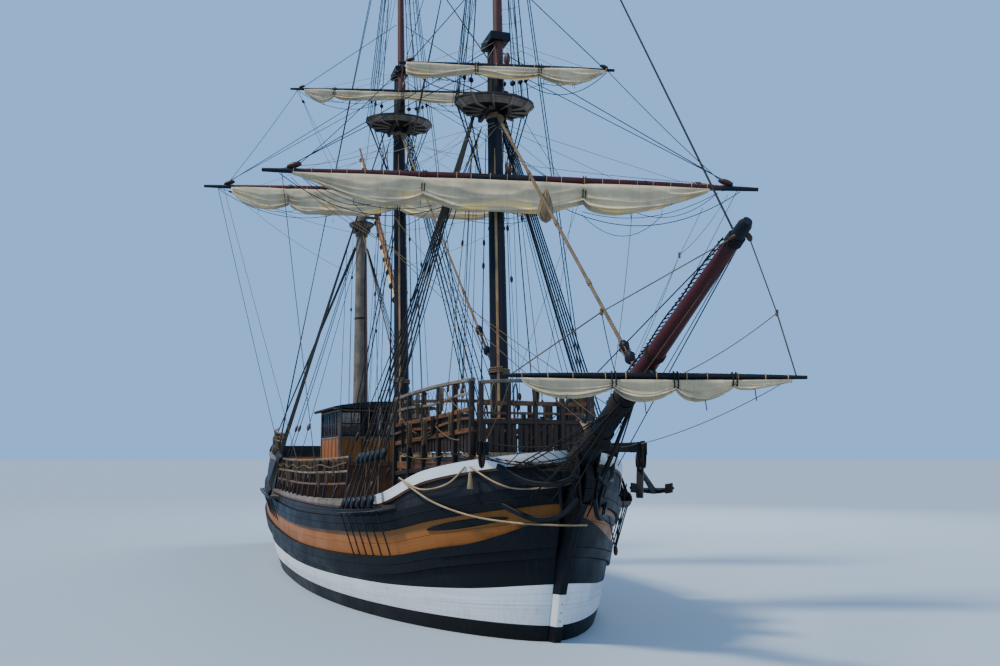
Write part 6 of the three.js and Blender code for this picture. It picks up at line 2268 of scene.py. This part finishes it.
class SHIP_OT_upperworks(bpy.types.Operator):
    """Builds the forecastle, the cabin, the open rails and the hatch's grating."""
    bl_idname = "ship.upperworks"
    bl_label = "Upperworks"

    def execute(self, context):
        return run_all(build_forecastle, build_cabin, build_open_rails, build_hatch)


class SHIP_OT_masts(bpy.types.Operator):
    """Steps the masts, the tops and the bowsprit."""
    bl_idname = "ship.masts"
    bl_label = "Masts"

    def execute(self, context):
        return run_all(build_masts, build_tops, build_bowsprit)


class SHIP_OT_yards(bpy.types.Operator):
    """Crosses the yards."""
    bl_idname = "ship.yards"
    bl_label = "Yards"

    def execute(self, context):
        return run_all(build_yards)


class SHIP_OT_sails(bpy.types.Operator):
    """Hangs the sails in their gathers."""
    bl_idname = "ship.sails"
    bl_label = "Sails"

    def execute(self, context):
        return run_all(build_sails)


class SHIP_OT_shrouds(bpy.types.Operator):
    """Sets up the shrouds, ratlines, deadeyes and backstays."""
    bl_idname = "ship.shrouds"
    bl_label = "Shrouds"

    def execute(self, context):
        return run_all(build_shrouds, build_stays, build_top_rigging)


class SHIP_OT_running(bpy.types.Operator):
    """Reeves the running rigging and dresses the yards and the bow."""
    bl_idname = "ship.running"
    bl_label = "Running rigging"

    def execute(self, context):
        return run_all(build_yard_gear, build_running_rigging, build_bow_gear)


STEPS = ("stage", "paint", "hull", "bow", "decks", "upperworks", "masts", "yards", "sails",
         "shrouds", "running")


class SHIP_PT_panel(bpy.types.Panel):
    """Lists the settings and the steps in order."""
    bl_label = "Tall ship"
    bl_idname = "SHIP_PT_panel"
    bl_space_type = "VIEW_3D"
    bl_region_type = "UI"
    bl_category = "Tall ship"

    def draw(self, context):
        for group in (context.scene.ship_sizes, context.scene.ship_colours):
            for key in group.__annotations__:
                self.layout.prop(group, key)
        for step in STEPS:
            self.layout.operator(f"ship.{step}")


CLASSES = (ShipSizes, ShipColours, SHIP_OT_stage, SHIP_OT_paint, SHIP_OT_hull, SHIP_OT_bow,
           SHIP_OT_decks, SHIP_OT_upperworks, SHIP_OT_masts, SHIP_OT_yards, SHIP_OT_sails,
           SHIP_OT_shrouds, SHIP_OT_running, SHIP_PT_panel)


def register():
    for kind in CLASSES:
        bpy.utils.register_class(kind)
    bpy.types.Scene.ship_sizes = PointerProperty(type=ShipSizes)
    bpy.types.Scene.ship_colours = PointerProperty(type=ShipColours)


def unregister():
    del bpy.types.Scene.ship_sizes
    del bpy.types.Scene.ship_colours
    for kind in reversed(CLASSES):
        bpy.utils.unregister_class(kind)


def corners(box):
    return [list(map(float, corner)) for corner in box]


def main():
    register()
    for step in STEPS:
        getattr(bpy.ops.ship, step)()
    {"cad": corners(CAD_BOX), "visual": corners(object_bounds())}


if __name__ == "__main__":
    main()
